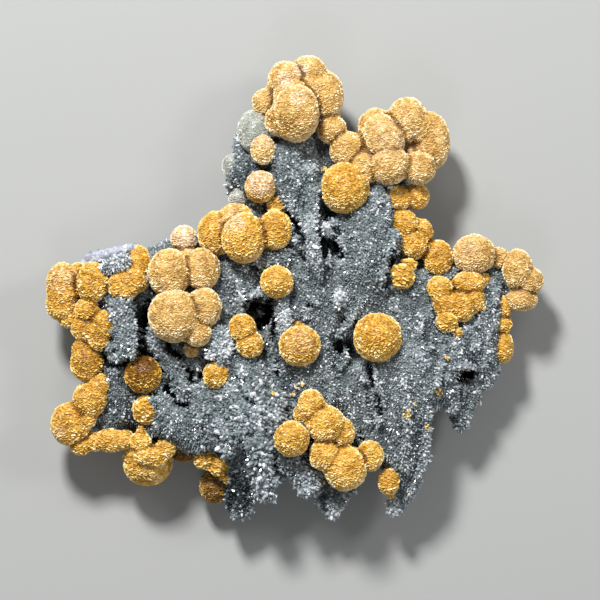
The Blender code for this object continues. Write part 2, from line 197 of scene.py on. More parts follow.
def removed(obj: bpy.types.Object) -> None:
    """Takes an object and its mesh out of the file."""
    mesh = obj.data
    bpy.data.objects.remove(obj)
    bpy.data.meshes.remove(mesh)


def applied(obj: bpy.types.Object, kind: str, **settings: Any) -> None:
    """Adds a modifier with its settings and applies it.

    Args:
        obj: the object.
        kind: the modifier's type.
        settings: its properties.
    """
    modifier = obj.modifiers.new(kind.lower(), kind)
    for name, value in settings.items():
        setattr(modifier, name, value)
    only(obj)
    bpy.ops.object.modifier_apply(modifier=modifier.name)


def roughened(obj: bpy.types.Object, kind: str, size: float, height: float) -> None:
    """Raises and lowers a surface by a solid pattern.

    Args:
        obj: the object.
        kind: the pattern, CLOUDS or VORONOI.
        size: of the pattern's lumps, in millimetres.
        height: from lowest to highest, in millimetres.
    """
    pattern = bpy.data.textures.new(obj.name + "_lumps", kind)
    pattern.noise_scale = size * MM
    applied(obj, "DISPLACE", texture=pattern, strength=height * MM, mid_level=0.5, texture_coords="LOCAL")
    bpy.data.textures.remove(pattern)


def places(mesh: bpy.types.Mesh) -> np.ndarray:
    """The vertices' places in millimetres, one row each."""
    values = np.empty(len(mesh.vertices) * 3, np.float32)
    mesh.vertices.foreach_get("co", values)
    return values.reshape(-1, 3).astype(float) / MM


def set_places(mesh: bpy.types.Mesh, values: np.ndarray) -> None:
    """Moves the vertices to places in millimetres."""
    mesh.vertices.foreach_set("co", (values * MM).astype(np.float32).ravel())
    mesh.update()


def normals(mesh: bpy.types.Mesh) -> np.ndarray:
    """The vertices' normals, one row each."""
    values = np.empty(len(mesh.vertices) * 3, np.float32)
    mesh.vertex_normals.foreach_get("vector", values)
    return values.reshape(-1, 3).astype(float)


def set_values(mesh: bpy.types.Mesh, name: str, values: np.ndarray) -> None:
    """Stores a number for each vertex.

    Args:
        mesh: the mesh.
        name: the attribute's name.
        values: one for each vertex.
    """
    attribute = mesh.attributes.get(name) or mesh.attributes.new(name, "FLOAT", "POINT")
    attribute.data.foreach_set("value", np.asarray(values, np.float32))


def eased(low: float, high: float, values: np.ndarray) -> np.ndarray:
    """Rises smoothly from 0 at low to 1 at high, or falls where low is above high."""
    share = np.clip((values - low) / (high - low), 0.0, 1.0)
    return share * share * (3 - 2 * share)


def mottling(points: np.ndarray, size: float) -> np.ndarray:
    """Soft noise at each point.

    Args:
        points: places in millimetres.
        size: of its blots, in millimetres.

    Returns:
        About -1 to 1 for each point.
    """
    return np.array([noise.fractal(Vector(point), 1.0, 2.0, 3) for point in points / size])


def smoothed(mesh: bpy.types.Mesh, points: np.ndarray, rounds: int) -> np.ndarray:
    """Averages each vertex with its neighbours, over and over.

    Args:
        mesh: whose edges say which are neighbours.
        points: the vertices' places.
        rounds: how often.

    Returns:
        The smoothed places.
    """
    ends = np.empty(len(mesh.edges) * 2, np.int32)
    mesh.edges.foreach_get("vertices", ends)
    first, second = ends.reshape(-1, 2).T
    count = np.bincount(ends, minlength=len(points))[:, None]
    for _ in range(rounds):
        total = np.empty_like(points)
        for axis in range(3):
            values = points[:, axis]
            total[:, axis] = np.bincount(first, values[second], len(points))
            total[:, axis] += np.bincount(second, values[first], len(points))
        points = total / count
    return points


def ground_of(obj: bpy.types.Object) -> BVHTree:
    """A tree of an object's faces, to find its surface with."""
    return BVHTree.FromPolygons(
        [vertex.co for vertex in obj.data.vertices],
        [tuple(face.vertices) for face in obj.data.polygons],
    )


def height_at(ground: BVHTree, x: float, y: float) -> float | None:
    """How high a surface is there, seen from above, in millimetres, or None beside it."""
    place = ground.ray_cast(Vector((x, y, SKY_HEIGHT)) * MM, Vector((0, 0, -1)))[0]
    return None if place is None else place.z / MM


def swell(mesh: bpy.types.Mesh, amount: float, kept: tuple[float, float] | None = None) -> None:
    """Moves a skin outwards, or inwards where the amount is below 0.

    Args:
        mesh: the skin.
        amount: how far in millimetres.
        kept: the heights between which the move up and down sets in, to keep the face that it rests on.
    """
    points = places(mesh)
    moves = normals(mesh) * amount
    if kept:
        moves[:, 2] *= eased(*kept, points[:, 2])
    set_places(mesh, points + moves)


def depth_in(points: np.ndarray, ball: Ball) -> np.ndarray:
    """How far each point lies outside a ball, or inside it where below 0, in millimetres."""
    half = np.array(ball[3:] if len(ball) > 4 else ball[3:] * 3)
    return (np.linalg.norm((points - ball[:3]) / half, axis=1) - 1.0) * half.min()


def sunk(ball: Ball, depth: float) -> Ball:
    """A ball with all three half sizes, each smaller by a depth."""
    half = ball[3:] if len(ball) > 4 else ball[3:] * 3
    return (*ball[:3], *(size - depth for size in half))


def shaped(ball_model: bpy.types.Object, ball: Ball) -> bpy.types.Object:
    """A copy of a ball of radius 1, brought to a ball's place and three half sizes."""
    size = Matrix.Diagonal((*(half * MM for half in ball[3:]), 1.0))
    return copied(ball_model, Matrix.Translation(Vector(ball[:3]) * MM) @ size)


def fuller(ball_model: bpy.types.Object, power: float) -> bpy.types.Object:
    """Makes a ball of radius 1 fuller between its girth and its top.

    Args:
        ball_model: the round ball.
        power: ROUND keeps it round, and more makes its shoulders fuller.

    Returns:
        A fuller copy.
    """
    found = copied(ball_model)
    points = places(found.data)
    girth, rise = np.hypot(points[:, 0], points[:, 1]), np.abs(points[:, 2])
    size = np.linalg.norm(points, axis=1)
    stretch = size / (girth**power + rise**power) ** (1 / power)
    set_places(found.data, points * stretch[:, None])
    return found


def distance_to(points: np.ndarray, path: tuple[tuple[float, ...], ...]) -> np.ndarray:
    """How far each point is from a path of straight runs.

    Args:
        points: places in as many dimensions as the path has.
        path: its stops.

    Returns:
        One distance for each point.
    """
    found = np.full(len(points), np.inf)
    for start, end in zip(path, path[1:]):
        run = np.subtract(end, start)
        along = np.clip((points - start) @ run / (run @ run), 0.0, 1.0)
        found = np.minimum(found, np.linalg.norm(points - start - along[:, None] * run, axis=1))
    return found


@dataclass(frozen=True)
class Scatter:
    """How small crystals are strewn over a surface, thinned by its cover, scaled by its size attribute."""

    spacing: float
    tilt_deg: float
    spin_deg: float
    least: float
    most: float
    seed: int

    def over(self, surface: bpy.types.Object, shapes: bpy.types.Collection) -> None:
        """Turns a surface into the crystals strewn over it.

        Args:
            surface: whose mesh is replaced by the crystals.
            shapes: the crystals to pick from.
        """
        tree = bpy.data.node_groups.new("strewn_crystals", "GeometryNodeTree")
        tree.interface.new_socket("Geometry", in_out="INPUT", socket_type="NodeSocketGeometry")
        tree.interface.new_socket("Geometry", in_out="OUTPUT", socket_type="NodeSocketGeometry")
        start = add_node(tree, "NodeGroupInput")
        cover = add_node(tree, "GeometryNodeInputNamedAttribute", {"Name": "cover"}, data_type="FLOAT")
        size = add_node(tree, "GeometryNodeInputNamedAttribute", {"Name": "size"}, data_type="FLOAT")
        strewn = add_node(
            tree,
            "GeometryNodeDistributePointsOnFaces",
            {
                "Mesh": start.outputs[0],
                "Distance Min": self.spacing * MM,
                "Density Max": 3.0 / (self.spacing * MM) ** 2,
                "Density Factor": cover.outputs["Attribute"],
                "Seed": self.seed,
            },
            distribute_method="POISSON",
        )
        shade = add_node(tree, "FunctionNodeRandomValue", {"Seed": self.seed + 1}, data_type="FLOAT")
        marked = add_node(
            tree,
            "GeometryNodeStoreNamedAttribute",
            {"Geometry": strewn.outputs["Points"], "Name": "shade", "Value": shade.outputs[1]},
            data_type="FLOAT",
            domain="POINT",
        )
        lean = add_node(tree, "GeometryNodeInputNamedAttribute", {"Name": "lean"}, data_type="FLOAT")
        run = add_node(tree, "ShaderNodeCombineXYZ", {"X": 1.0, "Y": lean.outputs["Attribute"]})
        aligned = add_node(
            tree,
            "FunctionNodeAlignRotationToVector",
            {"Rotation": strewn.outputs["Rotation"], "Vector": run.outputs[0]},
            axis="X",
            pivot_axis="Z",
        )
        tilt, spin = math.radians(self.tilt_deg), math.radians(self.spin_deg)
        turn = add_node(
            tree,
            "FunctionNodeRandomValue",
            {0: (-tilt, -tilt, -spin), 1: (tilt, tilt, spin), "Seed": self.seed + 2},
            data_type="FLOAT_VECTOR",
        )
        turned = add_node(
            tree,
            "FunctionNodeRotateRotation",
            {
                "Rotation": aligned.outputs[0],
                "Rotate By": add_node(tree, "FunctionNodeEulerToRotation", {0: turn.outputs[0]}).outputs[0],
            },
            rotation_space="LOCAL",
        )
        scale = add_node(
            tree,
            "FunctionNodeRandomValue",
            {2: self.least, 3: self.most, "Seed": self.seed + 3},
            data_type="FLOAT",
        )
        scaled = add_node(
            tree,
            "ShaderNodeMath",
            {0: scale.outputs[1], 1: size.outputs["Attribute"]},
            operation="MULTIPLY",
        )
        picked = add_node(
            tree,
            "FunctionNodeRandomValue",
            {4: 0, 5: len(shapes.objects) - 1, "Seed": self.seed + 4},
            data_type="INT",
        )
        chosen = add_node(
            tree,
            "GeometryNodeCollectionInfo",
            {"Collection": shapes, "Separate Children": True, "Reset Children": True},
        )
        placed = add_node(
            tree,
            "GeometryNodeInstanceOnPoints",
            {
                "Points": marked.outputs["Geometry"],
                "Instance": chosen.outputs[0],
                "Pick Instance": True,
                "Instance Index": picked.outputs[2],
                "Rotation": turned.outputs[0],
                "Scale": scaled.outputs[0],
            },
        )
        solid = add_node(tree, "GeometryNodeRealizeInstances", {0: placed.outputs[0]})
        add_node(tree, "NodeGroupOutput", {0: solid.outputs[0]})
        applied(surface, "NODES", node_group=tree)
        bpy.data.node_groups.remove(tree)


class Shapes:
    """The small crystals that are strewn, each modelled once."""

    def __init__(self, quartz: bpy.types.Material) -> None:
        """Models every crystal.

        Args:
            quartz: what the quartz points are dressed in.
        """
        self.points = self.shelf("quartz_points")
        self.plates = self.shelf("gyrolite_plates")
        for number, (radius, prism, tip) in enumerate([(0.27, 0.5, 0.34), (0.22, 0.7, 0.36)]):
            point = self.quartz_point(radius, prism, tip)
            point.data.materials.append(quartz)
            self.shelve(point, self.points, f"point_{number}")
        for number, (radius, tip) in enumerate([(0.36, 0.6), (0.32, 0.75), (0.42, 0.5)]):
            bud = self.quartz_bud(radius, tip)
            bud.data.materials.append(quartz)
            self.shelve(bud, self.points, f"bud_{number}")
        for number, (width, thickness, height) in enumerate([(0.8, 0.18, 0.42), (0.6, 0.19, 0.5)]):
            self.shelve(self.thin_plate(width, thickness, height), self.plates, f"plate_{number}")

    @staticmethod
    def shelf(name: str) -> bpy.types.Collection:
        """A collection that shows nothing by itself."""
        return bpy.data.collections.new(name)

    @staticmethod
    def shelve(obj: bpy.types.Object, shelf: bpy.types.Collection, name: str) -> None:
        """Puts a finished crystal away, with its height above its foot stored on it.

        Args:
            obj: the crystal, standing on the origin along Z.
            shelf: where it is kept.
            name: its name there.
        """
        points = places(obj.data)
        set_values(obj.data, "height", eased(0.0, points[:, 2].max(), points[:, 2]))
        obj.name = name
        for home in list(obj.users_collection):
            home.objects.unlink(obj)
        shelf.objects.link(obj)

    @staticmethod
    def quartz_point(radius: float, prism: float, tip: float) -> bpy.types.Object:
        """A six-sided prism with a six-sided tip, sunk a little at its foot."""
        bpy.ops.mesh.primitive_cylinder_add(
            vertices=6,
            radius=radius * MM,
            depth=prism * MM,
            location=(0, 0, prism / 4 * MM),
            end_fill_type="NGON",
        )
        obj = bpy.context.active_object
        bpy.ops.object.mode_set(mode="EDIT")
        bpy.ops.mesh.select_all(action="DESELECT")
        bpy.ops.object.mode_set(mode="OBJECT")
        for face in obj.data.polygons:
            face.select = face.normal.z > 0.9
        bpy.ops.object.mode_set(mode="EDIT")
        bpy.ops.mesh.extrude_region_move(TRANSFORM_OT_translate={"value": (0, 0, tip * MM)})
        bpy.ops.mesh.merge(type="CENTER")
        bpy.ops.object.mode_set(mode="OBJECT")
        bpy.ops.object.transform_apply(location=True, rotation=True, scale=True)
        return obj

    @staticmethod
    def quartz_bud(radius: float, tip: float) -> bpy.types.Object:
        """A squat crystal of which only the six-sided tip stands out."""
        bpy.ops.mesh.primitive_cone_add(
            vertices=6,
            radius1=radius * MM,
            radius2=0,
            depth=tip * MM,
            location=(0, 0, tip / 3 * MM),
            end_fill_type="NGON",
        )
        obj = bpy.context.active_object
        bpy.ops.object.mode_set(mode="EDIT")
        bpy.ops.mesh.select_all(action="SELECT")
        bpy.ops.transform.resize(value=(1.0, 0.8, 1.0))
        bpy.ops.object.mode_set(mode="OBJECT")
        bpy.ops.object.transform_apply(location=True, rotation=True, scale=True)
        return obj

    @staticmethod
    def thin_plate(width: float, thickness: float, height: float) -> bpy.types.Object:
        """A thin plate that stands on edge and narrows to a sharp upper edge."""
        bpy.ops.mesh.primitive_cube_add(size=MM, location=(0, 0, 0))
        obj = bpy.context.active_object
        bpy.ops.object.mode_set(mode="EDIT")
        bpy.ops.mesh.select_all(action="SELECT")
        bpy.ops.transform.resize(value=(width, thickness, height))
        bpy.ops.mesh.select_all(action="DESELECT")
        bpy.ops.object.mode_set(mode="OBJECT")
        for face in obj.data.polygons:
            face.select = face.normal.z > 0.9
        bpy.ops.object.mode_set(mode="EDIT")
        bpy.ops.transform.resize(value=(0.8, 0.0, 1.0))
        bpy.ops.mesh.remove_doubles(threshold=0.00001)
        bpy.ops.mesh.select_all(action="SELECT")
        bpy.ops.transform.translate(value=(0, 0, height / 4 * MM))
        bpy.ops.object.mode_set(mode="OBJECT")
        return obj

    def put_away(self) -> None:
        """Takes the models out of the file once everything is strewn."""
        for shelf in (self.points, self.plates):
            for obj in list(shelf.objects):
                removed(obj)
            bpy.data.collections.remove(shelf)


@dataclass(frozen=True)
class DrusyQuartz:
    """Drusy quartz over chalcedony, with painted highlights on a few crystals, painted light on its ridges
    and painted shade, blue-black in its clefts, in its grooves and clefts.
    """

    name: str = "drusy_quartz_glassy"
    stops: tuple[tuple[float, str], ...] = (
        (0.0, "1d2124"),
        (0.25, "535d60"),
        (0.5, "879393"),
        (0.75, "b7c1c8"),
        (1.0, "f6f8fa"),
    )
    own_shade: float = 0.17
    # Each crystal is paler towards its tip and darker at its foot: partly its clearer tip, partly painted
    # shade between the crystals.
    rise: tuple[float, float] = (-0.11, 0.15)
    # Painted highlights: crystals whose own shade is above this cut are lifted this much towards white,
    # standing in for glints.
    painted_highlight_cut: float = 0.86
    painted_highlight_lift: float = 0.4
    roughness: float = 0.12
    transmission: float = 0.25
    ior: float = 1.544
    # The bluish tint of the painted shade in the grooves.
    violet: str = "c4cbe0"
    stain: str = "9a6b3c"

    def material(self) -> bpy.types.Material:
        """The crystals' material, graded by the place's pallor, which holds painted light and shade, and by
        each crystal's own shade, with painted highlights on a few crystals.
        """
        made, tree, shader = new_material(self.name)
        pallor = add_node(tree, "ShaderNodeAttribute", attribute_name="pallor")
        shade = add_node(tree, "ShaderNodeAttribute", attribute_name="shade")
        height = add_node(tree, "ShaderNodeAttribute", attribute_name="height")
        own = add_node(
            tree,
            "ShaderNodeMapRange",
            {"Value": shade.outputs["Fac"], "To Min": -self.own_shade, "To Max": self.own_shade},
        )
        rise = add_node(
            tree,
            "ShaderNodeMapRange",
            {"Value": height.outputs["Fac"], "To Min": self.rise[0], "To Max": self.rise[1]},
        )
        # Painted highlights: a few crystals are lifted towards white.
        painted_highlights = add_node(
            tree,
            "ShaderNodeMath",
            {0: shade.outputs["Fac"], 1: self.painted_highlight_cut},
            operation="GREATER_THAN",
        )
        lifted = add_node(
            tree,
            "ShaderNodeMath",
            {0: painted_highlights.outputs[0], 1: self.painted_highlight_lift, 2: own.outputs[0]},
            operation="MULTIPLY_ADD",
        )
        total = add_node(
            tree,
            "ShaderNodeMath",
            {0: lifted.outputs[0], 1: rise.outputs[0]},
            operation="ADD",
        )
        level = add_node(
            tree,
            "ShaderNodeMath",
            {0: total.outputs[0], 1: pallor.outputs["Fac"]},
            operation="ADD",
            use_clamp=True,
        )
        ramp = add_node(tree, "ShaderNodeValToRGB", {"Fac": level.outputs[0]}, stops=self.stops)
        colour = ramp.outputs["Color"]
        # The bluish painted shade in the grooves, then the stone's own stain.
        for name, tint in (("violet", self.violet), ("stain", self.stain)):
            share = add_node(tree, "ShaderNodeAttribute", attribute_name=name)
            tinted = add_node(
                tree,
                "ShaderNodeMix",
                {0: share.outputs["Fac"], 6: colour, 7: linear(tint)},
                data_type="RGBA",
                blend_type="MULTIPLY",
            )
            colour = tinted.outputs[2]
        tree.links.new(colour, shader.inputs["Base Color"])
        shader.inputs["Roughness"].default_value = self.roughness
        shader.inputs["Transmission Weight"].default_value = self.transmission
        shader.inputs["IOR"].default_value = self.ior
        return made


@dataclass(frozen=True)
class ChalcedonyGround:
    """Grey-green chalcedony under the druse: dull and grainy, with a banded rind at its rim.

    The rind is white to lavender grey. The grain of real chalcedony is too fine to show, so this one is
    drawn coarser.
    """

    name: str = "chalcedony_broken"
    stops: tuple[tuple[float, str], ...] = ((0.0, "121417"), (0.5, "474f50"), (1.0, "99a1a3"))
    rind_stops: tuple[tuple[float, str], ...] = (
        (0.3, "6a6e7c"),
        (0.45, "b4b8c6"),
        (0.55, "868b9b"),
        (0.7, "eae9f0"),
    )
    band_size: float = 2.4
    grain_size: float = 0.5
    speckle: float = 0.25
    noise_span: tuple[float, float] = (0.3, 0.7)
    bump_strength: float = 0.6
    bump_height: float = 0.2
    roughness: float = 0.6

    def material(self) -> bpy.types.Material:
        """The ground's material."""
        made, tree, shader = new_material(self.name)
        place = add_node(tree, "ShaderNodeTexCoord").outputs["Object"]
        # The pallor holds painted light on ridges and painted shade in hollows and clefts.
        pallor = add_node(tree, "ShaderNodeAttribute", attribute_name="pallor")
        rind = add_node(tree, "ShaderNodeAttribute", attribute_name="rind")
        grain = add_node(
            tree,
            "ShaderNodeTexNoise",
            {"Vector": place, "Scale": 1 / (self.grain_size * MM), "Detail": 3.0},
        )
        bands = add_node(
            tree,
            "ShaderNodeTexNoise",
            {"Vector": place, "Scale": 1 / (self.band_size * MM), "Detail": 2.0, "Distortion": 0.6},
        )
        speckle = add_node(
            tree,
            "ShaderNodeMapRange",
            {
                "Value": grain.outputs["Fac"],
                "From Min": self.noise_span[0],
                "From Max": self.noise_span[1],
                "To Min": -self.speckle,
                "To Max": self.speckle,
            },
        )
        level = add_node(
            tree,
            "ShaderNodeMath",
            {0: speckle.outputs[0], 1: pallor.outputs["Fac"]},
            operation="ADD",
            use_clamp=True,
        )
        ground = add_node(tree, "ShaderNodeValToRGB", {"Fac": level.outputs[0]}, stops=self.stops)
        banded = add_node(
            tree,
            "ShaderNodeValToRGB",
            {"Fac": bands.outputs["Fac"]},
            stops=self.rind_stops,
        )
        colour = add_node(
            tree,
            "ShaderNodeMix",
            {0: rind.outputs["Fac"], 6: ground.outputs["Color"], 7: banded.outputs["Color"]},
            data_type="RGBA",
        )
        bump = add_node(
            tree,
            "ShaderNodeBump",
            {
                "Height": grain.outputs["Fac"],
                "Strength": self.bump_strength,
                "Distance": self.bump_height * MM,
            },
        )
        tree.links.new(colour.outputs[2], shader.inputs["Base Color"])
        tree.links.new(bump.outputs["Normal"], shader.inputs["Normal"])
        shader.inputs["Roughness"].default_value = self.roughness
        return made


@dataclass(frozen=True)
class Gyrolite:
    """Gyrolite in balls of fine radiating plates: silky, with painted light on the plates' edges and
    painted shade between them.
    """

    name: str
    stops: tuple[tuple[float, str], ...]
    frost: str = "f2e8e0"
    grain_size: float = 0.35
    roughness: float = 0.42
    transmission: float = 0.0
    ior: float = 1.54
    sheen: float = 0.05
    # Painted light and shade: plates are paler towards their upper edges and darker at their feet.
    rise: tuple[float, float] = (0.24, 0.76)
    own_shade: tuple[float, float] = (-0.12, 0.14)
    # Painted highlights: plates whose own shade is above this cut are lifted towards white, as glints.
    painted_gleam_cut: float = 0.9
    painted_gleam: float = 0.25
    spotting: float = 0.08
    noise_span: tuple[float, float] = (0.3, 0.7)

    def material(self) -> bpy.types.Material:
        """The balls' material, graded by the plates' height as painted light and shade, by their own shade,
        with painted highlights, by the seams' painted shade and by frosted spots.
        """
        made, tree, shader = new_material(self.name)
        place = add_node(tree, "ShaderNodeTexCoord").outputs["Object"]
        height = add_node(tree, "ShaderNodeAttribute", attribute_name="height")
        shade = add_node(tree, "ShaderNodeAttribute", attribute_name="shade")
        depth = add_node(tree, "ShaderNodeAttribute", attribute_name="depth")
        frost = add_node(tree, "ShaderNodeAttribute", attribute_name="frost")
        grain = add_node(
            tree,
            "ShaderNodeTexNoise",
            {"Vector": place, "Scale": 1 / (self.grain_size * MM), "Detail": 2.0},
        )
        rise = add_node(
            tree,
            "ShaderNodeMapRange",
            {"Value": height.outputs["Fac"], "To Min": self.rise[0], "To Max": self.rise[1]},
        )
        painted_gleam = add_node(
            tree,
            "ShaderNodeMath",
            {0: shade.outputs["Fac"], 1: self.painted_gleam_cut},
            operation="GREATER_THAN",
        )
        own = add_node(
            tree,
            "ShaderNodeMapRange",
            {"Value": shade.outputs["Fac"], "To Min": self.own_shade[0], "To Max": self.own_shade[1]},
        )
        lifted = add_node(
            tree,
            "ShaderNodeMath",
            {0: painted_gleam.outputs[0], 1: self.painted_gleam, 2: own.outputs[0]},
            operation="MULTIPLY_ADD",
        )
        spots = add_node(
            tree,
            "ShaderNodeMapRange",
            {
                "Value": grain.outputs["Fac"],
                "From Min": self.noise_span[0],
                "From Max": self.noise_span[1],
                "To Min": -self.spotting,
                "To Max": self.spotting,
            },
        )
        level = rise.outputs[0]
        for part in (lifted.outputs[0], spots.outputs[0], depth.outputs["Fac"]):
            added = add_node(tree, "ShaderNodeMath", {0: level, 1: part}, operation="ADD", use_clamp=True)
            level = added.outputs[0]
        body = add_node(tree, "ShaderNodeValToRGB", {"Fac": level}, stops=self.stops)
        colour = add_node(
            tree,
            "ShaderNodeMix",
            {0: frost.outputs["Fac"], 6: body.outputs["Color"], 7: linear(self.frost)},
            data_type="RGBA",
        )
        tree.links.new(colour.outputs[2], shader.inputs["Base Color"])
        shader.inputs["Roughness"].default_value = self.roughness
        shader.inputs["Transmission Weight"].default_value = self.transmission
        shader.inputs["IOR"].default_value = self.ior
        shader.inputs["Sheen Weight"].default_value = self.sheen
        return made


FINISHES = {
    Tone.GOLDEN: Gyrolite(
        "gyrolite_golden_silky",
        ((0.0, "74480c"), (0.3, "c69328"), (0.6, "ecc355"), (1.0, "fdf0c8")),
    ),
    Tone.TAN: Gyrolite(
        "gyrolite_tan_silky",
        ((0.0, "704a1a"), (0.3, "c89e50"), (0.6, "eccd86"), (1.0, "fdf5e0")),
    ),
    Tone.PALE: Gyrolite(
        "gyrolite_pale_pearly",
        ((0.0, "969a90"), (0.3, "c5c9be"), (0.6, "e6e8de"), (1.0, "fdfdf8")),
        roughness=0.3,
        transmission=0.3,
    ),
    # Painted shade: the golden colours darkened throughout.
    Tone.SHADED: Gyrolite(
        "gyrolite_shaded_dull",
        ((0.0, "2c1906"), (0.3, "75501a"), (0.6, "ac8136"), (1.0, "dcbd78")),
    ),
}


@dataclass(frozen=True)
class Spot:
    """A frosted spot on the balls, or a darker, brownish one where its strength is below 0, as seen from
    above.
    The dark one on top of the shaded ball is painted shadow.
    """

    x: float
    y: float
    radius: float
    strength: float = 0.45


SPOTS = [
    Spot(1.3, 54.3, 2.8, 0.85),
    Spot(-2.5, 51.5, 3.2, 0.65),
    Spot(1.0, 47.2, 3.0, 0.75),
    Spot(-2.6, 41.2, 4.4, -0.22),
    Spot(-14.2, 22.4, 3.4, 0.7),
    Spot(-8.0, 36.2, 3.2, 0.4),
    Spot(-15.5, 16.5, 4.4, 0.55),
    Spot(-8.6, 26.0, 4.8, 0.9),
    Spot(1.2, -13.6, 5.0, 0.25),
    Spot(-27.6, 12.4, 4.6, 0.95),
    Spot(-58.8, -36.0, 2.4, 0.4),
    # Painted shadow: the frond above shades the top of this ball.
    Spot(-38.0, -17.8, 5.2, -0.34),
    Spot(24.6, 37.0, 9.0, 0.22),
    Spot(-58.4, 2.4, 5.0, 0.35),
    Spot(43.6, 9.4, 4.0, 0.2),
]


@dataclass
class Growth:
    """Gyrolite balls grown into each other, each ball as (x, y, z, radius) or with three half sizes.

    The fills are more balls, that lead one lobe smoothly over into the next, and the web is the size of the
    small balls in the grooves. The plates are a little coarser than real ones, so that they show.
    """

    node: str
    balls: tuple[Ball, ...]
    tone: Tone = Tone.GOLDEN
    grain: Grain = Grain.USUAL
    shade: float = 0.0
    fills: tuple[Ball, ...] = ()
    fullness: float = 2.45
    fillet: float = 0.45
    web: float = 0.72
    drawn_in: float = 0.16
    voxel: float = 0.34
    plate_spacing: float = 0.43
    plate_tilt: float = 24.0
    plate_spin: float = 40.0
    plate_scale: tuple[float, float] = (0.75, 1.2)
    plate_lean: float = 1.2
    lean_size: float = 2.2
    grain_run: tuple[float, float, float] = (1.2, 0.6, 0.6)
    grain_size: float = 0.8
    grain_height: float = 0.15
    lump_size: float = 2.6
    lump_height: float = 0.22
    groove_span: tuple[float, float] = (0.35, 0.95)
    groove_size: tuple[float, float] = (1.1, 0.3)
    crease_rounds: int = 3
    crease_span: tuple[float, float] = (0.02, 0.1)
    crease_painted_shade: float = 0.45
    blot_size: float = 2.5
    blot_shade: float = 0.05
    relief_shade: float = 0.12
    frost_grain: float = 0.6
    frost_core: float = 0.3
    # The ground between the plates is set low on the height scale, so it is painted in shade.
    ground_height: float = 0.2
    ground_shade: float = 0.4

    def bodies(self) -> list[Ball]:
        """The balls, and between each two that run into each other a ball that fills their groove."""
        found = [sunk(ball, 0.0) for ball in self.balls]
        for first, second in itertools.combinations([np.array(ball) for ball in found], 2):
            apart = np.linalg.norm((first[:3] - second[:3]) / (first[3:] + second[3:]))
            if self.groove_span[0] < apart < self.groove_span[1]:
                share = self.groove_size[0] - self.groove_size[1] * apart
                half = (first[3:] + second[3:]) / 2 * self.web * share
                found.append((*((first[:3] + second[:3]) / 2), *half))
        return found + [sunk(ball, 0.0) for ball in self.fills]

    def skin(self, ball_model: bpy.types.Object) -> bpy.types.Object:
        """The fused body of the growth.

        Args:
            ball_model: a ball of radius 1 that every ball is copied from.

        Returns:
            The body, with the depth and frost of each place stored on it.
        """
        lobe = fuller(ball_model, self.fullness if len(self.balls) > 1 else ROUND)
        body = joined([shaped(lobe, sunk(ball, self.drawn_in)) for ball in self.bodies()])
        removed(lobe)
        applied(body, "REMESH", mode="VOXEL", voxel_size=self.voxel * MM)
        if len(self.balls) > 1:
            swell(body.data, self.fillet)
            applied(body, "REMESH", mode="VOXEL", voxel_size=self.voxel * MM)
            swell(body.data, -self.fillet)
        applied(body, "SMOOTH", factor=0.5, iterations=2)
        points = places(body.data)
        moves = smoothed(body.data, points, self.crease_rounds) - points
        crease = np.einsum("ij,ij->i", moves, normals(body.data))
        relief = self.lump_height * mottling(points, self.lump_size)
        relief += self.grain_height * mottling(points / self.grain_run, self.grain_size)
        points += normals(body.data) * (relief * self.grain.value)[:, None]
        set_places(body.data, points)
        crease = eased(*self.crease_span, crease)
        # Painted shade: darker in the creases between lobes and on the low parts of the relief, paler on
        # its high parts.
        depth = self.shade - self.crease_painted_shade * crease + self.blot_shade * mottling(points, self.blot_size)
        depth += self.relief_shade * relief / self.grain_height
        frost = np.zeros(len(points))
        for spot in SPOTS:
            apart = np.hypot(points[:, 0] - spot.x, points[:, 1] - spot.y)
            share = spot.strength * eased(spot.radius, spot.radius * self.frost_core, apart)
            frost = np.maximum(frost, share)
            depth += np.minimum(share, 0.0)
        frost *= eased(-0.4, 0.4, mottling(points, self.frost_grain)) * (1.0 - crease)
        set_values(body.data, "depth", depth)
        set_values(body.data, "frost", frost)
        set_values(body.data, "cover", np.ones(len(points)))
        set_values(body.data, "size", np.full(len(points), self.grain.value))
        set_values(body.data, "lean", self.plate_lean * mottling(points, self.lean_size))
        return body

    def build(
        self,
        ball_model: bpy.types.Object,
        shapes: Shapes,
        finish: bpy.types.Material,
    ) -> bpy.types.Object:
        """Makes the growth and dresses it.

        Args:
            ball_model: a ball of radius 1.
            shapes: the small crystals.
            finish: the balls' material.

        Returns:
            The finished piece, in place of its solid.
        """
        body = self.skin(ball_model)
        plates = copied(body)
        spacing = self.plate_spacing * self.grain.value
        strewing = Scatter(spacing, self.plate_tilt, self.plate_spin, *self.plate_scale, len(self.node))
        strewing.over(plates, shapes.plates)
        set_values(body.data, "height", np.full(len(body.data.vertices), self.ground_height))
        set_values(body.data, "shade", np.full(len(body.data.vertices), self.ground_shade))
        piece = joined([body, plates])
        piece.name = self.node + "_balls"
        piece.data.materials.clear()
        piece.data.materials.append(finish)
        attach(piece, "root")
        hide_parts(self.node)
        return piece


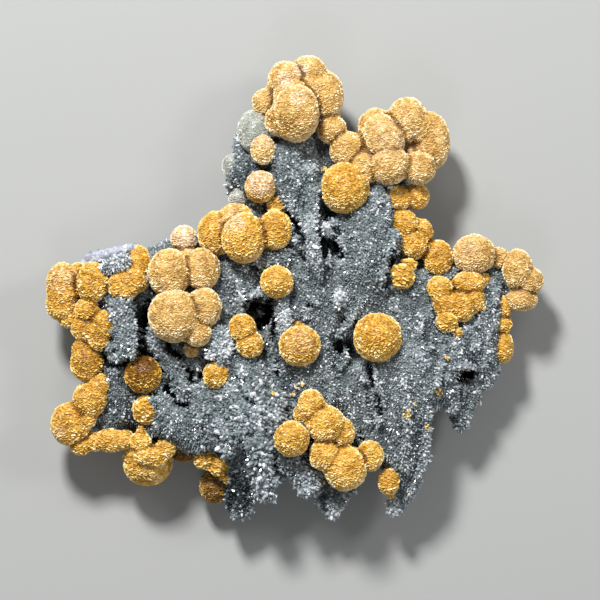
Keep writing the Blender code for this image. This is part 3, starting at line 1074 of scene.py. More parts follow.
GROWTHS = [
    Growth(
        "crest_cluster",
        (
            (3.4, 53.5, 14.0, 4.5),
            (-2.1, 51.9, 16.0, 4.6),
            (7.2, 48.0, 13.5, 4.9, 6.2, 5.5),
            (0.2, 43.4, 20.5, 5.7, 7.2, 6.1),
            (-3.5, 41.6, 19.5, 4.0),
            (-7.1, 46.1, 15.0, 3.6),
            (9.1, 39.6, 15.0, 3.6),
            (1.5, 46.5, 10.0, 5.5),
            (13.2, 34.4, 15.5, 4.5),
            (17.6, 30.1, 17.0, 4.2),
            (23.4, 30.6, 18.5, 4.9),
            (22.4, 36.6, 17.5, 4.8),
            (20.2, 40.4, 13.5, 4.4),
            (28.1, 41.6, 13.5, 5.0, 6.0, 5.5),
            (33.9, 36.6, 12.4, 4.8, 7.4, 4.8),
            (31.0, 29.9, 16.5, 4.1),
            (27.5, 35.5, 11.0, 5.0),
        ),
        Tone.TAN,
        Grain.FINE,
        web=0.8,
        fills=(
            (-0.8, 47.8, 18.4, 4.5, 4.6, 4.7),
            (3.6, 49.6, 15.4, 4.4),
            (7.6, 42.8, 13.4, 3.6),
            (15.5, 32.2, 15.6, 3.8),
            (21.4, 38.6, 16.4, 4.7),
            (31.2, 39.6, 13.2, 4.4),
        ),
    ),
    Growth("pale_ball", ((-9.8, 39.1, 14.0, 4.7, 5.5, 5.2),), Tone.PALE, Grain.SMOOTH),
    Growth("crown_bud", ((-8.0, 34.4, 18.5, 3.0, 3.7, 2.8),), Tone.TAN, Grain.FINE),
    Growth("recess_ball", ((12.5, 24.8, 18.5, 6.0, 6.3, 6.0),)),
    Growth("upper_left_ball", ((-8.6, 25.1, 18.5, 3.9),), grain=Grain.FINE, shade=-0.08),
    Growth("upper_left_rosette", ((-4.4, 20.7, 17.0, 2.3, 2.8, 2.3),), grain=Grain.ROUGH),
    Growth(
        "pale_bead",
        ((-15.9, 30.5, 10.0, 2.5, 3.0, 2.5), (-15.0, 26.6, 9.5, 2.0)),
        Tone.PALE,
        Grain.SMOOTH,
    ),
    Growth("tan_bead", ((-14.2, 22.4, 12.0, 2.6),), Tone.PALE, Grain.SMOOTH),
    Growth(
        "triple_cluster",
        (
            (-19.5, 13.6, 15.0, 4.8, 5.4, 4.8),
            (-14.8, 16.4, 15.5, 4.6),
            (-12.8, 12.4, 19.5, 5.4, 6.2, 5.6),
            (-4.9, 14.3, 18.5, 4.1, 4.9, 4.3),
        ),
    ),
    Growth(
        "upper_double",
        (
            (-31.4, 3.6, 17.5, 5.2, 6.1, 5.5),
            (-23.2, 4.6, 16.5, 4.5, 5.3, 4.6),
            (-26.8, 5.0, 15.2, 3.8, 4.6, 4.2),
            (-27.8, 12.2, 13.0, 3.3),
        ),
        Tone.TAN,
        Grain.FINE,
    ),
    Growth(
        "lower_double",
        (
            (-30.2, -7.0, 19.5, 6.3, 6.6, 6.0),
            (-22.6, -4.9, 18.5, 4.2, 4.8, 4.4),
            (-26.0, -6.8, 17.5, 4.2, 5.2, 4.6),
            (-24.3, -11.1, 19.0, 3.5),
            (-25.8, -15.4, 15.5, 2.0),
        ),
        Tone.TAN,
        Grain.FINE,
        fills=((-27.0, -9.2, 18.6, 4.6, 4.2, 4.4),),
    ),
    Growth(
        "crescent",
        (
            (-42.8, 0.5, 15.4, 3.9),
            (-40.4, 2.2, 15.2, 3.8),
            (-39.0, 5.4, 14.4, 3.3),
            (-39.2, 8.0, 13.6, 2.5),
        ),
    ),
    Growth(
        "left_rim_top",
        (
            (-58.0, 1.6, 12.0, 4.1, 4.5, 4.2),
            (-58.5, -4.3, 12.0, 3.8),
            (-56.6, -7.3, 12.0, 2.7),
            (-50.6, 1.4, 14.5, 4.0, 5.1, 4.2),
            (-54.5, 3.6, 13.0, 2.6),
        ),
        fills=((-58.2, -1.4, 12.1, 4.0, 4.3, 4.1),),
    ),
    Growth(
        "left_rim_upper",
        (
            (-52.0, -5.6, 14.0, 3.1),
            (-52.4, -10.0, 12.5, 3.7),
            (-47.5, -9.4, 15.5, 3.5),
            (-48.6, -12.8, 15.0, 3.0),
        ),
        fills=((-50.2, -10.8, 14.0, 3.6, 3.0, 3.4),),
    ),
    Growth(
        "left_rim_middle",
        ((-52.0, -19.0, 12.5, 4.1, 4.5, 4.2), (-52.8, -15.6, 12.0, 3.0)),
        shade=-0.12,
    ),
    Growth(
        "left_rim_lower",
        (
            (-51.2, -28.0, 13.0, 4.3),
            (-49.0, -24.2, 13.5, 2.8),
            (-56.2, -34.2, 12.0, 4.9, 5.4, 4.6),
            (-52.2, -32.8, 13.5, 2.4),
            (-53.6, -39.2, 11.5, 2.8),
            (-50.2, -38.6, 12.0, 2.6, 2.2, 2.2),
            (-46.0, -38.2, 12.0, 4.0, 2.9, 2.8),
            (-42.8, -38.0, 12.0, 2.6, 2.4, 2.4),
        ),
    ),
    # Painted shade: this ball lies in the shadow of the frond above, so it is painted darker.
    Growth("shaded_ball", ((-38.0, -21.7, 15.0, 4.6),), shade=-0.3),
    Growth("left_rosette", ((-37.2, -30.5, 15.0, 3.1, 3.5, 3.0),), grain=Grain.ROUGH),
    Growth(
        "horseshoe",
        (
            (-38.6, -38.6, 14.5, 2.6),
            (-38.5, -35.6, 15.0, 1.2),
            (-37.6, -41.5, 14.0, 2.8),
            (-34.8, -42.2, 14.0, 2.8),
            (-32.4, -40.3, 14.5, 2.5),
        ),
    ),
    Growth("lower_left_ball", ((-37.0, -43.5, 8.5, 6.2),)),
    Growth("dark_sliver", ((-28.2, -42.2, 6.5, 2.6, 1.7, 2.2),), Tone.SHADED),
    Growth(
        "lower_bar",
        (
            (-22.5, -43.0, 12.0, 2.8, 2.6, 2.6),
            (-18.9, -44.6, 12.0, 2.8, 2.4, 2.4),
            (-16.4, -47.3, 11.0, 2.2, 1.6, 1.8),
        ),
        grain=Grain.ROUGH,
    ),
    Growth("lower_ball", ((-20.0, -50.0, 6.5, 4.1),), Tone.SHADED),
    Growth("bead_ball", ((-4.5, 1.4, 20.0, 4.0),)),
    Growth("bridge_ball", ((1.2, -14.5, 19.5, 5.0), (0.7, -9.8, 17.5, 1.6))),
    Growth("figure_eight", ((-13.1, -10.1, 18.0, 3.4), (-11.3, -14.2, 18.0, 3.3))),
    Growth("cleft_ball", ((-19.5, -21.9, 17.0, 3.4),)),
    Growth("sheet_ball", ((20.6, -12.4, 21.5, 6.0),)),
    Growth(
        "front_cluster",
        (
            (4.1, -29.3, 20.0, 3.4, 3.8, 3.4),
            (2.2, -31.5, 19.0, 2.6),
            (7.6, -34.0, 20.0, 4.6),
            (11.3, -36.2, 18.5, 3.6),
            (7.4, -41.8, 20.0, 3.8),
            (12.5, -45.0, 18.5, 5.3, 5.6, 5.2),
            (18.8, -42.0, 17.0, 3.3, 3.8, 3.3),
        ),
        shade=0.08,
    ),
    Growth("front_ball", ((-0.9, -37.6, 22.0, 4.35),)),
    Growth("oval_ball", ((23.4, -48.5, 15.0, 2.7, 3.3, 2.7), (24.0, -52.2, 14.0, 0.9))),
    Growth("neck_pair", ((25.6, 22.4, 14.5, 3.6, 3.0, 3.2), (30.2, 22.8, 13.0, 3.4, 3.2, 3.4))),
    Growth(
        "neck_bend",
        (
            (27.1, 15.9, 14.5, 3.6),
            (31.2, 13.9, 13.0, 3.3),
            (29.6, 10.9, 14.5, 3.7),
            (35.8, 7.4, 13.0, 3.7, 4.4, 4.0),
        ),
    ),
    Growth(
        "neck_rosette",
        ((26.6, 2.8, 19.5, 3.0), (28.3, 5.6, 18.5, 2.1, 1.4, 1.6), (23.2, 2.3, 19.5, 1.1)),
        grain=Grain.ROUGH,
    ),
    Growth(
        "wing_bowl",
        (
            (36.0, -0.4, 16.5, 3.2),
            (37.8, -4.2, 16.5, 3.4),
            (41.6, -4.8, 16.0, 3.6),
            (44.6, -3.2, 15.0, 3.0),
            (43.5, 1.1, 14.5, 4.2, 2.9, 3.4),
            (47.6, 2.2, 13.0, 1.4),
        ),
    ),
    Growth("wing_bud", ((37.9, -8.6, 19.0, 2.4), (40.6, -11.2, 18.5, 1.1)), grain=Grain.ROUGH),
    Growth("wing_ball", ((44.8, 8.4, 13.0, 5.3, 4.9, 5.0), (51.2, 7.4, 11.5, 2.6)), Tone.TAN, Grain.FINE),
    Growth(
        "wing_end",
        ((55.7, 4.6, 12.0, 3.8, 5.0, 4.4), (58.7, 1.7, 11.5, 3.5), (56.8, -2.9, 11.5, 3.9, 3.0, 3.6)),
        Tone.TAN,
        Grain.FINE,
    ),
    Growth(
        "wing_side",
        ((52.4, -4.6, 11.5, 1.9, 3.0, 2.2), (52.2, -9.2, 11.0, 2.2), (52.2, -14.9, 11.0, 2.4, 3.9, 2.8)),
        web=0.4,
    ),
]


@dataclass(frozen=True)
class Patch:
    """A round patch of the druse, seen from above, that is paler or darker, and coarser, than the rest."""

    x: float
    y: float
    radius: float
    pallor: float
    coarse: float = 0.0
    stain: float = 0.0


PATCHES = [
    Patch(-11.0, -35.6, 17.0, -0.04, 0.75),
    Patch(-44.5, 6.0, 3.6, 0.14),
    Patch(4.2, 16.0, 3.0, 0.14),
    Patch(4.8, 9.0, 2.6, 0.14),
    Patch(-12.0, -3.2, 4.0, 0.12, 0.2),
    # Painted shade: the frond here is in shade, so its druse is painted darker.
    Patch(-31.0, -21.0, 8.0, -0.1),
    Patch(-43.5, -29.0, 8.0, -0.08),
    Patch(28.0, -22.0, 15.0, 0.1),
    Patch(46.0, -12.0, 11.0, 0.06),
    Patch(-6.5, -13.0, 6.0, -0.1, 0.0, 0.2),
    Patch(42.7, -22.2, 3.0, -0.35, 0.0, 0.9),
    Patch(-38.4, -16.6, 2.0, 0.0, 0.0, 0.8),
    Patch(-37.6, -20.0, 6.0, -0.05, 0.0, 0.3),
    Patch(-12.5, 25.6, 8.0, -0.2),
    Patch(-14.8, -52.0, 7.0, -0.42),
    Patch(9.0, -50.0, 6.0, -0.12),
    Patch(9.0, -58.0, 4.0, 0.06, 0.3),
    Patch(-7.2, -50.0, 4.4, 0.14, 0.5),
    Patch(3.5, -48.6, 5.5, 0.1, 0.5),
    Patch(25.0, -56.0, 4.0, 0.1, 0.3),
    Patch(7.8, 14.4, 2.8, 0.42, 0.2),
    Patch(11.2, -1.8, 2.2, 0.45, 0.2),
    Patch(-43.0, -11.0, 7.0, 0.02, 0.0),
    Patch(-18.3, -14.5, 5.0, 0.2, 0.3),
    Patch(-2.6, -8.0, 3.4, 0.25, 0.1),
    Patch(23.2, 6.0, 3.5, 0.08, 0.1),
    Patch(-38.0, -36.0, 9.0, -0.12),
]


@dataclass(frozen=True)
class Region:
    """A part of the druse that is one piece: the box in X and Y that its crystals stand in."""

    name: str
    low: tuple[float, float]
    high: tuple[float, float]
    seed: int


REGIONS = [
    Region("crown_druse", (-99.0, 14.0), (99.0, 99.0), 11),
    Region("left_druse", (-99.0, -99.0), (-26.0, 14.0), 23),
    Region("middle_druse", (-26.0, -20.0), (12.0, 14.0), 37),
    Region("front_druse", (-26.0, -99.0), (12.0, -20.0), 41),
    Region("right_druse", (12.0, -99.0), (34.0, 14.0), 53),
    Region("wing_druse", (34.0, -99.0), (99.0, 14.0), 67),
]


@dataclass(frozen=True)
class Rib:
    """A rib, drip or frond of quartz that stands out of the plate, as a path seen from above.

    Each stop is its X, Y, radius and how far it stands out, in millimetres. A frond is flatter than it is
    wide, and its lower edge has teeth.
    """

    stops: tuple[tuple[float, float, float, float], ...]
    flatness: float = 1.0
    teeth: int = 0


@dataclass(frozen=True)
class Cleft:
    """A gap in the druse along a path seen from above, carved down and painted dark as painted shade.

    It has its stops' X and Y, its half width, its depth and how ragged its edge is.
    """

    stops: tuple[tuple[float, float], ...]
    radius: float
    depth: float
    ragged: float = 0.4
    ragged_size: float = 1.1
    core: float = 0.5

    def inside(self, points: np.ndarray) -> np.ndarray:
        """How far inside the cleft each point lies, from 0 outside it to 1, with a ragged edge."""
        apart = distance_to(points[:, :2], self.stops)
        near = apart < self.radius * 2
        found = np.zeros(len(points))
        edge = apart[near] + self.ragged * self.radius * mottling(points[near], self.ragged_size)
        found[near] = eased(self.radius, self.radius * self.core, edge)
        return found


RIBS = [
    Rib(
        (
            (4.0, 24.0, 2.0, 1.3),
            (4.3, 18.0, 2.0, 1.8),
            (3.7, 13.8, 1.9, 2.1),
            (4.9, 9.2, 1.8, 2.1),
            (6.3, 1.9, 1.1, 1.7),
        ),
    ),
    Rib(((7.2, 15.4, 1.2, 1.8), (8.4, 12.6, 1.3, 2.4)), 0.8, 10),
    Rib(((11.6, 12.4, 1.1, 0.6), (12.8, 9.0, 1.1, 1.0), (13.4, 5.0, 0.8, 0.6))),
    Rib(
        (
            (24.6, 14.0, 1.1, 1.2),
            (24.4, 10.6, 1.2, 1.8),
            (23.0, 7.6, 1.1, 1.6),
            (21.8, 3.6, 1.0, 1.8),
            (22.4, 0.8, 0.8, 1.4),
        ),
        1.0,
        16,
    ),
    Rib(((11.0, -1.0, 1.5, 1.4), (11.1, -2.6, 1.3, 2.2)), 0.8, 10),
    Rib(
        (
            (-17.0, -5.6, 1.0, 1.1),
            (-12.4, -4.6, 1.1, 1.5),
            (-11.8, -2.8, 1.0, 1.7),
            (-8.6, -1.2, 1.1, 1.5),
            (-6.0, -2.2, 1.0, 1.3),
        ),
        1.0,
        18,
    ),
    Rib(
        (
            (-3.3, -2.6, 1.6, 1.6),
            (-2.7, -5.6, 1.6, 2.2),
            (-2.0, -7.6, 1.5, 2.4),
            (-1.9, -10.1, 1.5, 2.2),
            (-3.0, -12.2, 1.1, 1.8),
        ),
    ),
    Rib(((4.6, -4.0, 1.2, 0.6), (3.0, -7.0, 1.2, 1.0))),
    Rib(((16.6, -3.0, 1.3, 0.6), (14.0, -8.0, 1.2, 0.8), (11.0, -12.4, 1.1, 1.0))),
    Rib(((-24.6, -14.6, 1.4, 1.4), (-18.8, -12.2, 2.9, 2.2), (-17.9, -15.6, 2.8, 2.6)), 0.6, 24),
    Rib(((-16.4, -13.6, 1.3, 1.4), (-16.0, -16.4, 0.9, 1.2))),
    Rib(((-14.0, -20.0, 1.2, 0.8), (-12.2, -24.0, 1.3, 1.2), (-10.4, -27.6, 1.0, 1.0))),
    Rib(((-21.0, -30.0, 1.6, 0.6), (-17.6, -36.0, 1.6, 1.4), (-15.6, -40.6, 1.1, 1.6))),
    Rib(
        (
            (-9.2, -38.0, 3.4, 0.6),
            (-8.2, -45.4, 2.7, 1.0),
            (-7.3, -50.4, 1.5, 1.0),
            (-7.6, -52.6, 0.8, 0.8),
        ),
        0.5,
        22,
    ),
    Rib(((-9.0, -28.0, 1.8, 0.6), (-9.2, -36.0, 1.8, 1.2))),
    Rib(((-3.6, -42.6, 1.1, 0.8), (-3.4, -45.6, 0.8, 1.2))),
    Rib(((-1.0, -42.6, 2.8, 0.6), (2.0, -46.8, 3.2, 1.0), (3.8, -49.6, 2.0, 1.0)), 0.5, 22),
    Rib(((4.6, -44.6, 2.0, 0.8), (7.2, -46.8, 1.2, 1.2)), 0.6, 8),
    Rib(((9.2, -50.0, 1.8, 0.4), (9.4, -57.0, 1.4, 0.6))),
    Rib(((20.6, -21.0, 1.3, 0.4), (21.6, -27.6, 1.3, 1.0), (21.0, -34.0, 1.2, 1.2))),
    Rib(((17.0, -27.0, 1.2, 0.6), (18.2, -34.0, 1.1, 1.0), (16.6, -38.6, 0.9, 0.8))),
    Rib(
        (
            (27.0, -20.0, 1.4, 0.4),
            (28.4, -30.0, 1.4, 0.9),
            (27.6, -40.0, 1.3, 1.0),
            (25.4, -49.0, 1.1, 1.0),
        ),
    ),
    Rib(
        (
            (33.4, -30.0, 1.2, 0.5),
            (32.6, -38.0, 1.2, 1.0),
            (31.6, -45.0, 1.1, 1.2),
            (28.8, -51.6, 0.9, 1.0),
        ),
    ),
    Rib(((24.6, -52.0, 1.3, 0.8), (25.0, -57.2, 1.0, 0.6))),
    Rib(((38.0, -20.6, 1.3, 0.6), (42.6, -19.4, 1.3, 1.2), (46.0, -20.8, 1.1, 1.0))),
    Rib(((38.6, -24.6, 1.2, 0.6), (41.0, -30.0, 1.2, 1.0), (41.2, -35.8, 0.9, 0.8))),
    Rib(((45.6, -25.0, 1.1, 0.6), (44.0, -29.6, 1.0, 0.8))),
    Rib(((37.0, -14.0, 1.3, 0.4), (36.4, -20.0, 1.2, 0.8), (34.6, -25.6, 1.0, 0.8))),
    Rib(((47.0, -2.0, 1.6, 0.6), (47.6, -10.0, 1.4, 0.8), (49.0, -18.0, 1.1, 0.8))),
    Rib(
        (
            (-44.0, -4.8, 2.6, 1.4),
            (-42.0, -9.4, 3.3, 1.8),
            (-42.0, -13.2, 3.2, 2.0),
            (-42.8, -15.6, 2.0, 1.8),
        ),
        0.4,
        26,
    ),
    Rib(((-46.2, -15.4, 2.4, 1.2), (-44.5, -18.2, 2.3, 1.4), (-44.0, -20.2, 1.1, 1.2)), 0.5, 14),
    Rib(((-35.8, -9.8, 1.8, 1.8), (-34.9, -14.0, 2.3, 2.4), (-34.2, -17.4, 1.2, 2.2)), 0.5, 16),
    Rib(((-7.5, 7.4, 3.0, 2.6), (-3.4, 7.4, 3.2, 2.6), (-1.6, 9.6, 2.4, 2.0)), 0.5, 10),
    Rib(((37.4, 3.0, 1.8, 3.0), (40.4, 4.6, 1.8, 3.0))),
    Rib(((-46.6, 5.2, 2.2, 2.4), (-43.2, 6.4, 2.4, 2.4)), 0.5),
    Rib(((-27.6, 0.0, 1.6, 3.0), (-25.2, 0.2, 1.6, 3.0))),
    Rib(
        (
            (-33.0, -15.0, 1.6, 1.4),
            (-31.2, -18.6, 2.3, 1.8),
            (-29.2, -22.4, 2.4, 2.0),
            (-27.8, -25.4, 1.2, 1.6),
        ),
        0.5,
        22,
    ),
    Rib(((-25.6, -17.4, 1.4, 1.0), (-24.4, -19.4, 1.2, 1.2)), 0.6, 6),
    Rib(((-17.2, -39.0, 1.8, 1.0), (-15.6, -40.2, 1.4, 1.2)), 0.6, 8),
    Rib(((-12.0, 32.0, 1.4, 0.4), (-10.6, 22.0, 1.2, 0.6), (-8.0, 18.6, 1.0, 0.8))),
    Rib(((0.0, 34.0, 1.6, 0.4), (0.6, 26.0, 1.5, 0.8), (-1.0, 20.0, 1.2, 1.0), (-0.6, 14.6, 0.9, 0.8))),
]


CLEFTS = [
    Cleft(((-36.8, -3.4), (-37.6, -8.0), (-38.2, -12.6), (-37.8, -16.4)), 1.5, 5.0),
    Cleft(((-47.6, -14.0), (-47.0, -19.4), (-42.0, -19.4)), 1.0, 3.0),
    Cleft(((-32.6, -12.4), (-31.6, -15.4), (-28.6, -17.6)), 1.2, 4.0),
    Cleft(((-25.2, -21.4), (-22.8, -22.6)), 1.1, 3.0),
    Cleft(((-29.8, -29.0), (-26.8, -29.6)), 1.2, 3.0),
    Cleft(((-11.4, -4.4), (-7.8, -3.8), (-6.6, -7.4), (-9.4, -9.8)), 2.0, 6.0),
    Cleft(((-5.8, -2.8), (-5.0, -9.0), (-5.4, -13.0)), 1.0, 4.0),
    Cleft(((-2.6, 19.2), (0.4, 15.6), (2.2, 11.4)), 1.4, 4.5),
    Cleft(((7.4, 12.0), (9.6, 11.0), (11.6, 7.8)), 1.4, 5.0),
    Cleft(((6.8, 17.2), (7.8, 16.6)), 0.7, 3.0),
    Cleft(((3.6, -4.6), (4.4, -5.2)), 0.8, 3.0),
    Cleft(((13.6, 12.6), (14.2, 12.4)), 0.5, 2.0),
    Cleft(((10.6, -13.2), (13.0, -13.8)), 0.8, 2.5),
    Cleft(((18.8, -19.8), (19.6, -24.6)), 0.8, 3.0),
    Cleft(((-15.0, -22.4), (-12.4, -23.2)), 0.7, 2.5),
    Cleft(((-13.2, -27.4), (-9.8, -29.0)), 0.8, 2.5),
    Cleft(((-4.6, -20.6), (-4.2, -22.6)), 0.6, 2.5),
    Cleft(((3.4, -40.6), (4.8, -44.6)), 0.9, 3.0),
    Cleft(((-5.4, -40.4), (-4.8, -45.6)), 0.8, 2.5),
    Cleft(((20.4, -26.6), (21.6, -31.6)), 0.9, 3.0),
    Cleft(((16.4, -36.4), (17.6, -39.6)), 0.8, 3.0),
    Cleft(((41.2, -23.0), (42.9, -21.9), (44.6, -21.3)), 1.35, 4.5),
    Cleft(((24.6, 8.6), (24.0, 4.6), (23.0, 0.6)), 1.2, 4.0),
]


@dataclass
class Plate:
    """The quartz plate: a fine skin around its solid, closed up round the balls, with its crystals."""

    voxel: float = 0.5
    closing: float = 0.75
    foot: tuple[float, float] = (0.4, 2.4)
    crystal_rise: float = 0.5
    ball_depth: float = 0.5
    rib_step: float = 0.7
    least_rib: float = 0.42
    tooth_reach: tuple[float, float] = (0.5, 1.6)
    tooth_turn: tuple[float, float] = (-90.0, 65.0)
    tooth_rise: tuple[float, float] = (-0.3, 0.2)
    tooth_root: float = 0.6
    tooth_radius: float = 1.1
    cleft_foot: float = 1.5
    cleft_facing: tuple[float, float] = (0.0, 0.4)
    cleft_painted_shade: float = 0.4
    cleft_bare: float = 0.5
    rest_height: float = 0.6
    rest_facing: float = -0.6
    most_triangles: int = 190000
    drips: int = 340
    drip_clearance: float = 1.0
    drip_foot: float = 5.0
    drips_across: tuple[float, float] = (-58.0, 54.0)
    drips_along: tuple[float, float] = (-54.0, 46.0)
    drip_run: tuple[float, float] = (2.5, 7.0)
    drip_drift: float = 1.2
    drip_radius: tuple[float, float] = (0.8, 1.5)
    drip_proud: tuple[float, float] = (0.4, 1.1)
    drip_root: float = 0.8
    drip_sunk: float = -0.4
    lump_sizes: tuple[tuple[str, float, float], ...] = (("CLOUDS", 3.2, 0.8), ("VORONOI", 1.5, 0.45))
    ridge_reach: int = 30
    ridge_height: float = 0.9
    pale: float = 0.535
    ridge_painted_shading: float = 0.16
    cloud_pale: float = 0.1
    cloud_size: float = 7.0
    coarse: float = 0.95
    ridge_coarse: float = 0.4
    cloud_coarse: float = 0.14
    coarse_size: float = 3.0
    violet: float = 0.9
    painted_shade_ridge_span: tuple[float, float] = (0.1, -0.7)
    painted_shade_patch_size: float = 11.0
    painted_shade_patch_bias: float = 0.2
    patch_core: float = 0.3
    ball_gap: tuple[float, float] = (-0.25, 0.1)
    druse_spacing: float = 0.47
    druse_tilt: float = 34.0
    druse_spin: float = 180.0
    druse_scale: tuple[float, float] = (0.7, 1.25)
    druse_foot: tuple[float, float] = (2.0, 4.6)
    druse_lift: float = 3.0
    rind_line: tuple[tuple[float, float, float], ...] = (
        (-54.0, 6.6, 12.0),
        (-49.5, 8.8, 14.0),
        (-44.6, 10.2, 15.0),
        (-39.4, 11.4, 15.0),
    )
    rind_reach: float = 2.4
    rind_core: float = 0.7

    def strewn_drips(self, ground: BVHTree) -> list[Rib]:
        """Small drips all over the plate's display side, each running down towards -Y.

        Args:
            ground: the plate.

        Returns:
            The drips that fit between the balls.
        """
        dice = random.Random(self.drips)
        balls = [ball for growth in GROWTHS for ball in growth.bodies()]
        found = []
        for _ in range(self.drips):
            x = dice.uniform(*self.drips_across)
            y = dice.uniform(*self.drips_along)
            run = dice.uniform(*self.drip_run)
            drift = dice.uniform(-self.drip_drift, self.drip_drift)
            radius = dice.uniform(*self.drip_radius)
            top = height_at(ground, x, y - run)
            if top is None or top < self.drip_foot:
                continue
            tip = np.array([[x + drift, y - run, top]])
            if min(depth_in(tip, ball)[0] for ball in balls) < self.drip_clearance:
                continue
            root = (x, y, radius * self.drip_root, self.drip_sunk)
            found.append(Rib((root, (x + drift, y - run, radius, dice.uniform(*self.drip_proud)))))
        return found

    @staticmethod
    def stops(rib: Rib, ground: BVHTree) -> list[np.ndarray]:
        """A rib's stops with the height of the highest ground near each.

        Args:
            rib: the rib.
            ground: the plate.

        Returns:
            X, Y, Z and radius of each stop that has ground under it.
        """
        found = []
        for x, y, radius, proud in rib.stops:
            spots = [(x, y), (x + radius, y), (x - radius, y), (x, y + radius), (x, y - radius)]
            tops = [top for top in (height_at(ground, *spot) for spot in spots) if top is not None]
            if tops:
                found.append(np.array((x, y, max(tops) + proud - radius * rib.flatness, radius)))
        return found

    def run(self, start: np.ndarray, end: np.ndarray, flatness: float) -> list[Ball]:
        """A row of balls.

        Args:
            start: X, Y, Z and radius of the first.
            end: those of the last.
            flatness: their height as a share of their width.

        Returns:
            The balls.
        """
        steps = max(2, round(math.dist(start[:3], end[:3]) / self.rib_step))
        found = []
        for step in range(steps + 1):
            *centre, radius = start + (end - start) * step / steps
            half = max(radius - self.crystal_rise, self.least_rib)
            found.append((*centre, half, half, max(half * flatness, self.least_rib)))
        return found

    def teeth(self, rib: Rib, stops: list[np.ndarray], dice: random.Random) -> list[Ball]:
        """The teeth round a frond's edge, most of them pointing down towards -Y.

        Args:
            rib: the frond.
            stops: its stops on the ground.
            dice: where the chances come from.

        Returns:
            The balls of all the teeth.
        """
        found = []
        for _ in range(rib.teeth):
            place = dice.uniform(0.0, len(stops) - 1.001)
            *centre, radius = stops[int(place)] + (stops[int(place) + 1] - stops[int(place)]) * (place % 1)
            angle = math.radians(dice.gauss(*self.tooth_turn))
            way = np.array((math.cos(angle), math.sin(angle), dice.uniform(*self.tooth_rise)))
            root = np.array((*(centre + way * radius * self.tooth_root), self.tooth_radius))
            tip = np.array((*(centre + way * (radius + dice.uniform(*self.tooth_reach))), 0.0))
            found += self.run(root, tip, 1.0)
        return found

    def ribs(self, ground: BVHTree) -> list[Ball]:
        """The ribs, fronds and drips as rows of balls sunk into the plate.

        Args:
            ground: the plate.

        Returns:
            The balls.
        """
        dice = random.Random(len(RIBS))
        found = []
        for rib in RIBS + self.strewn_drips(ground):
            stops = self.stops(rib, ground)
            for start, end in zip(stops, stops[1:]):
                found += self.run(start, end, rib.flatness)
            if len(stops) > 1:
                found += self.teeth(rib, stops, dice)
        return found

    def shell(self, ball_model: bpy.types.Object, rib_model: bpy.types.Object) -> bpy.types.Object:
        """The plate's skin, drawn in by the crystals' rise.

        Args:
            ball_model: a ball of radius 1.
            rib_model: a plainer one, for the ribs.

        Returns:
            The skin, flat where it rests.
        """
        rough = copied(frame["nodes"][PLATE_NODE])
        only(rough)
        bpy.ops.object.mode_set(mode="EDIT")
        bpy.ops.mesh.select_all(action="SELECT")
        bpy.ops.mesh.remove_doubles(threshold=0.00001)
        bpy.ops.object.mode_set(mode="OBJECT")
        ribs = self.ribs(ground_of(rough))
        fillers = [sunk(ball, self.ball_depth) for growth in GROWTHS for ball in growth.bodies()]
        skin = joined([rough] + [shaped(ball_model, ball) for ball in fillers])
        applied(skin, "REMESH", mode="VOXEL", voxel_size=self.voxel * MM)
        swell(skin.data, self.closing, self.foot)
        applied(skin, "REMESH", mode="VOXEL", voxel_size=self.voxel * MM)
        swell(skin.data, -self.closing - self.crystal_rise, self.foot)
        skin = joined([skin] + [shaped(rib_model, ball) for ball in ribs])
        applied(skin, "REMESH", mode="VOXEL", voxel_size=self.voxel * MM)
        applied(skin, "SMOOTH", factor=0.5, iterations=1)
        for kind, size, height in self.lump_sizes:
            roughened(skin, kind, size, height)
        points = places(skin.data)
        facing = normals(skin.data)[:, 2]
        for cleft in CLEFTS:
            share = cleft.inside(points) * eased(*self.cleft_facing, facing)
            points[:, 2] -= np.minimum(cleft.depth, np.maximum(points[:, 2] - self.cleft_foot, 0.0)) * share
        points[:, 2] = np.maximum(points[:, 2], 0.0)
        flat = (points[:, 2] < self.rest_height) & (facing < self.rest_facing)
        points[flat, 2] = 0.0
        set_places(skin.data, points)
        return skin

    def mark(self, skin: bpy.types.Object) -> None:
        """Stores on the skin how pale, how coarse and how covered each place is.
        The pallor holds painted light on ridges, painted shade in hollows and clefts and bluish painted
        shade in grooves.

        Args:
            skin: the plate's skin.
        """
        mesh = skin.data
        points = places(mesh)
        facing = normals(mesh)
        ridge = np.einsum("ij,ij->i", points - smoothed(mesh, points, self.ridge_reach), facing)
        ridge = np.clip(ridge / self.ridge_height, -1.0, 1.0)
        # Painted light and shade: ridges are painted paler and hollows darker.
        pallor = self.pale + self.ridge_painted_shading * ridge + self.cloud_pale * mottling(points, self.cloud_size)
        coarse = self.coarse + self.ridge_coarse * np.maximum(ridge, 0.0)
        coarse += self.cloud_coarse * mottling(points, self.coarse_size)
        # Painted shade: the grooves get a bluish darkening, in patches.
        zones = mottling(points, self.painted_shade_patch_size) + self.painted_shade_patch_bias
        violet = self.violet * eased(*self.painted_shade_ridge_span, ridge) * eased(-0.5, 0.5, zones)
        stain = np.zeros(len(points))
        for patch in PATCHES:
            apart = np.hypot(points[:, 0] - patch.x, points[:, 1] - patch.y)
            share = eased(patch.radius, patch.radius * self.patch_core, apart)
            pallor += share * patch.pallor
            coarse += share * patch.coarse
            stain += share * patch.stain
        rind_core = self.rind_reach * self.rind_core
        rind = eased(self.rind_reach, rind_core, distance_to(points, self.rind_line))
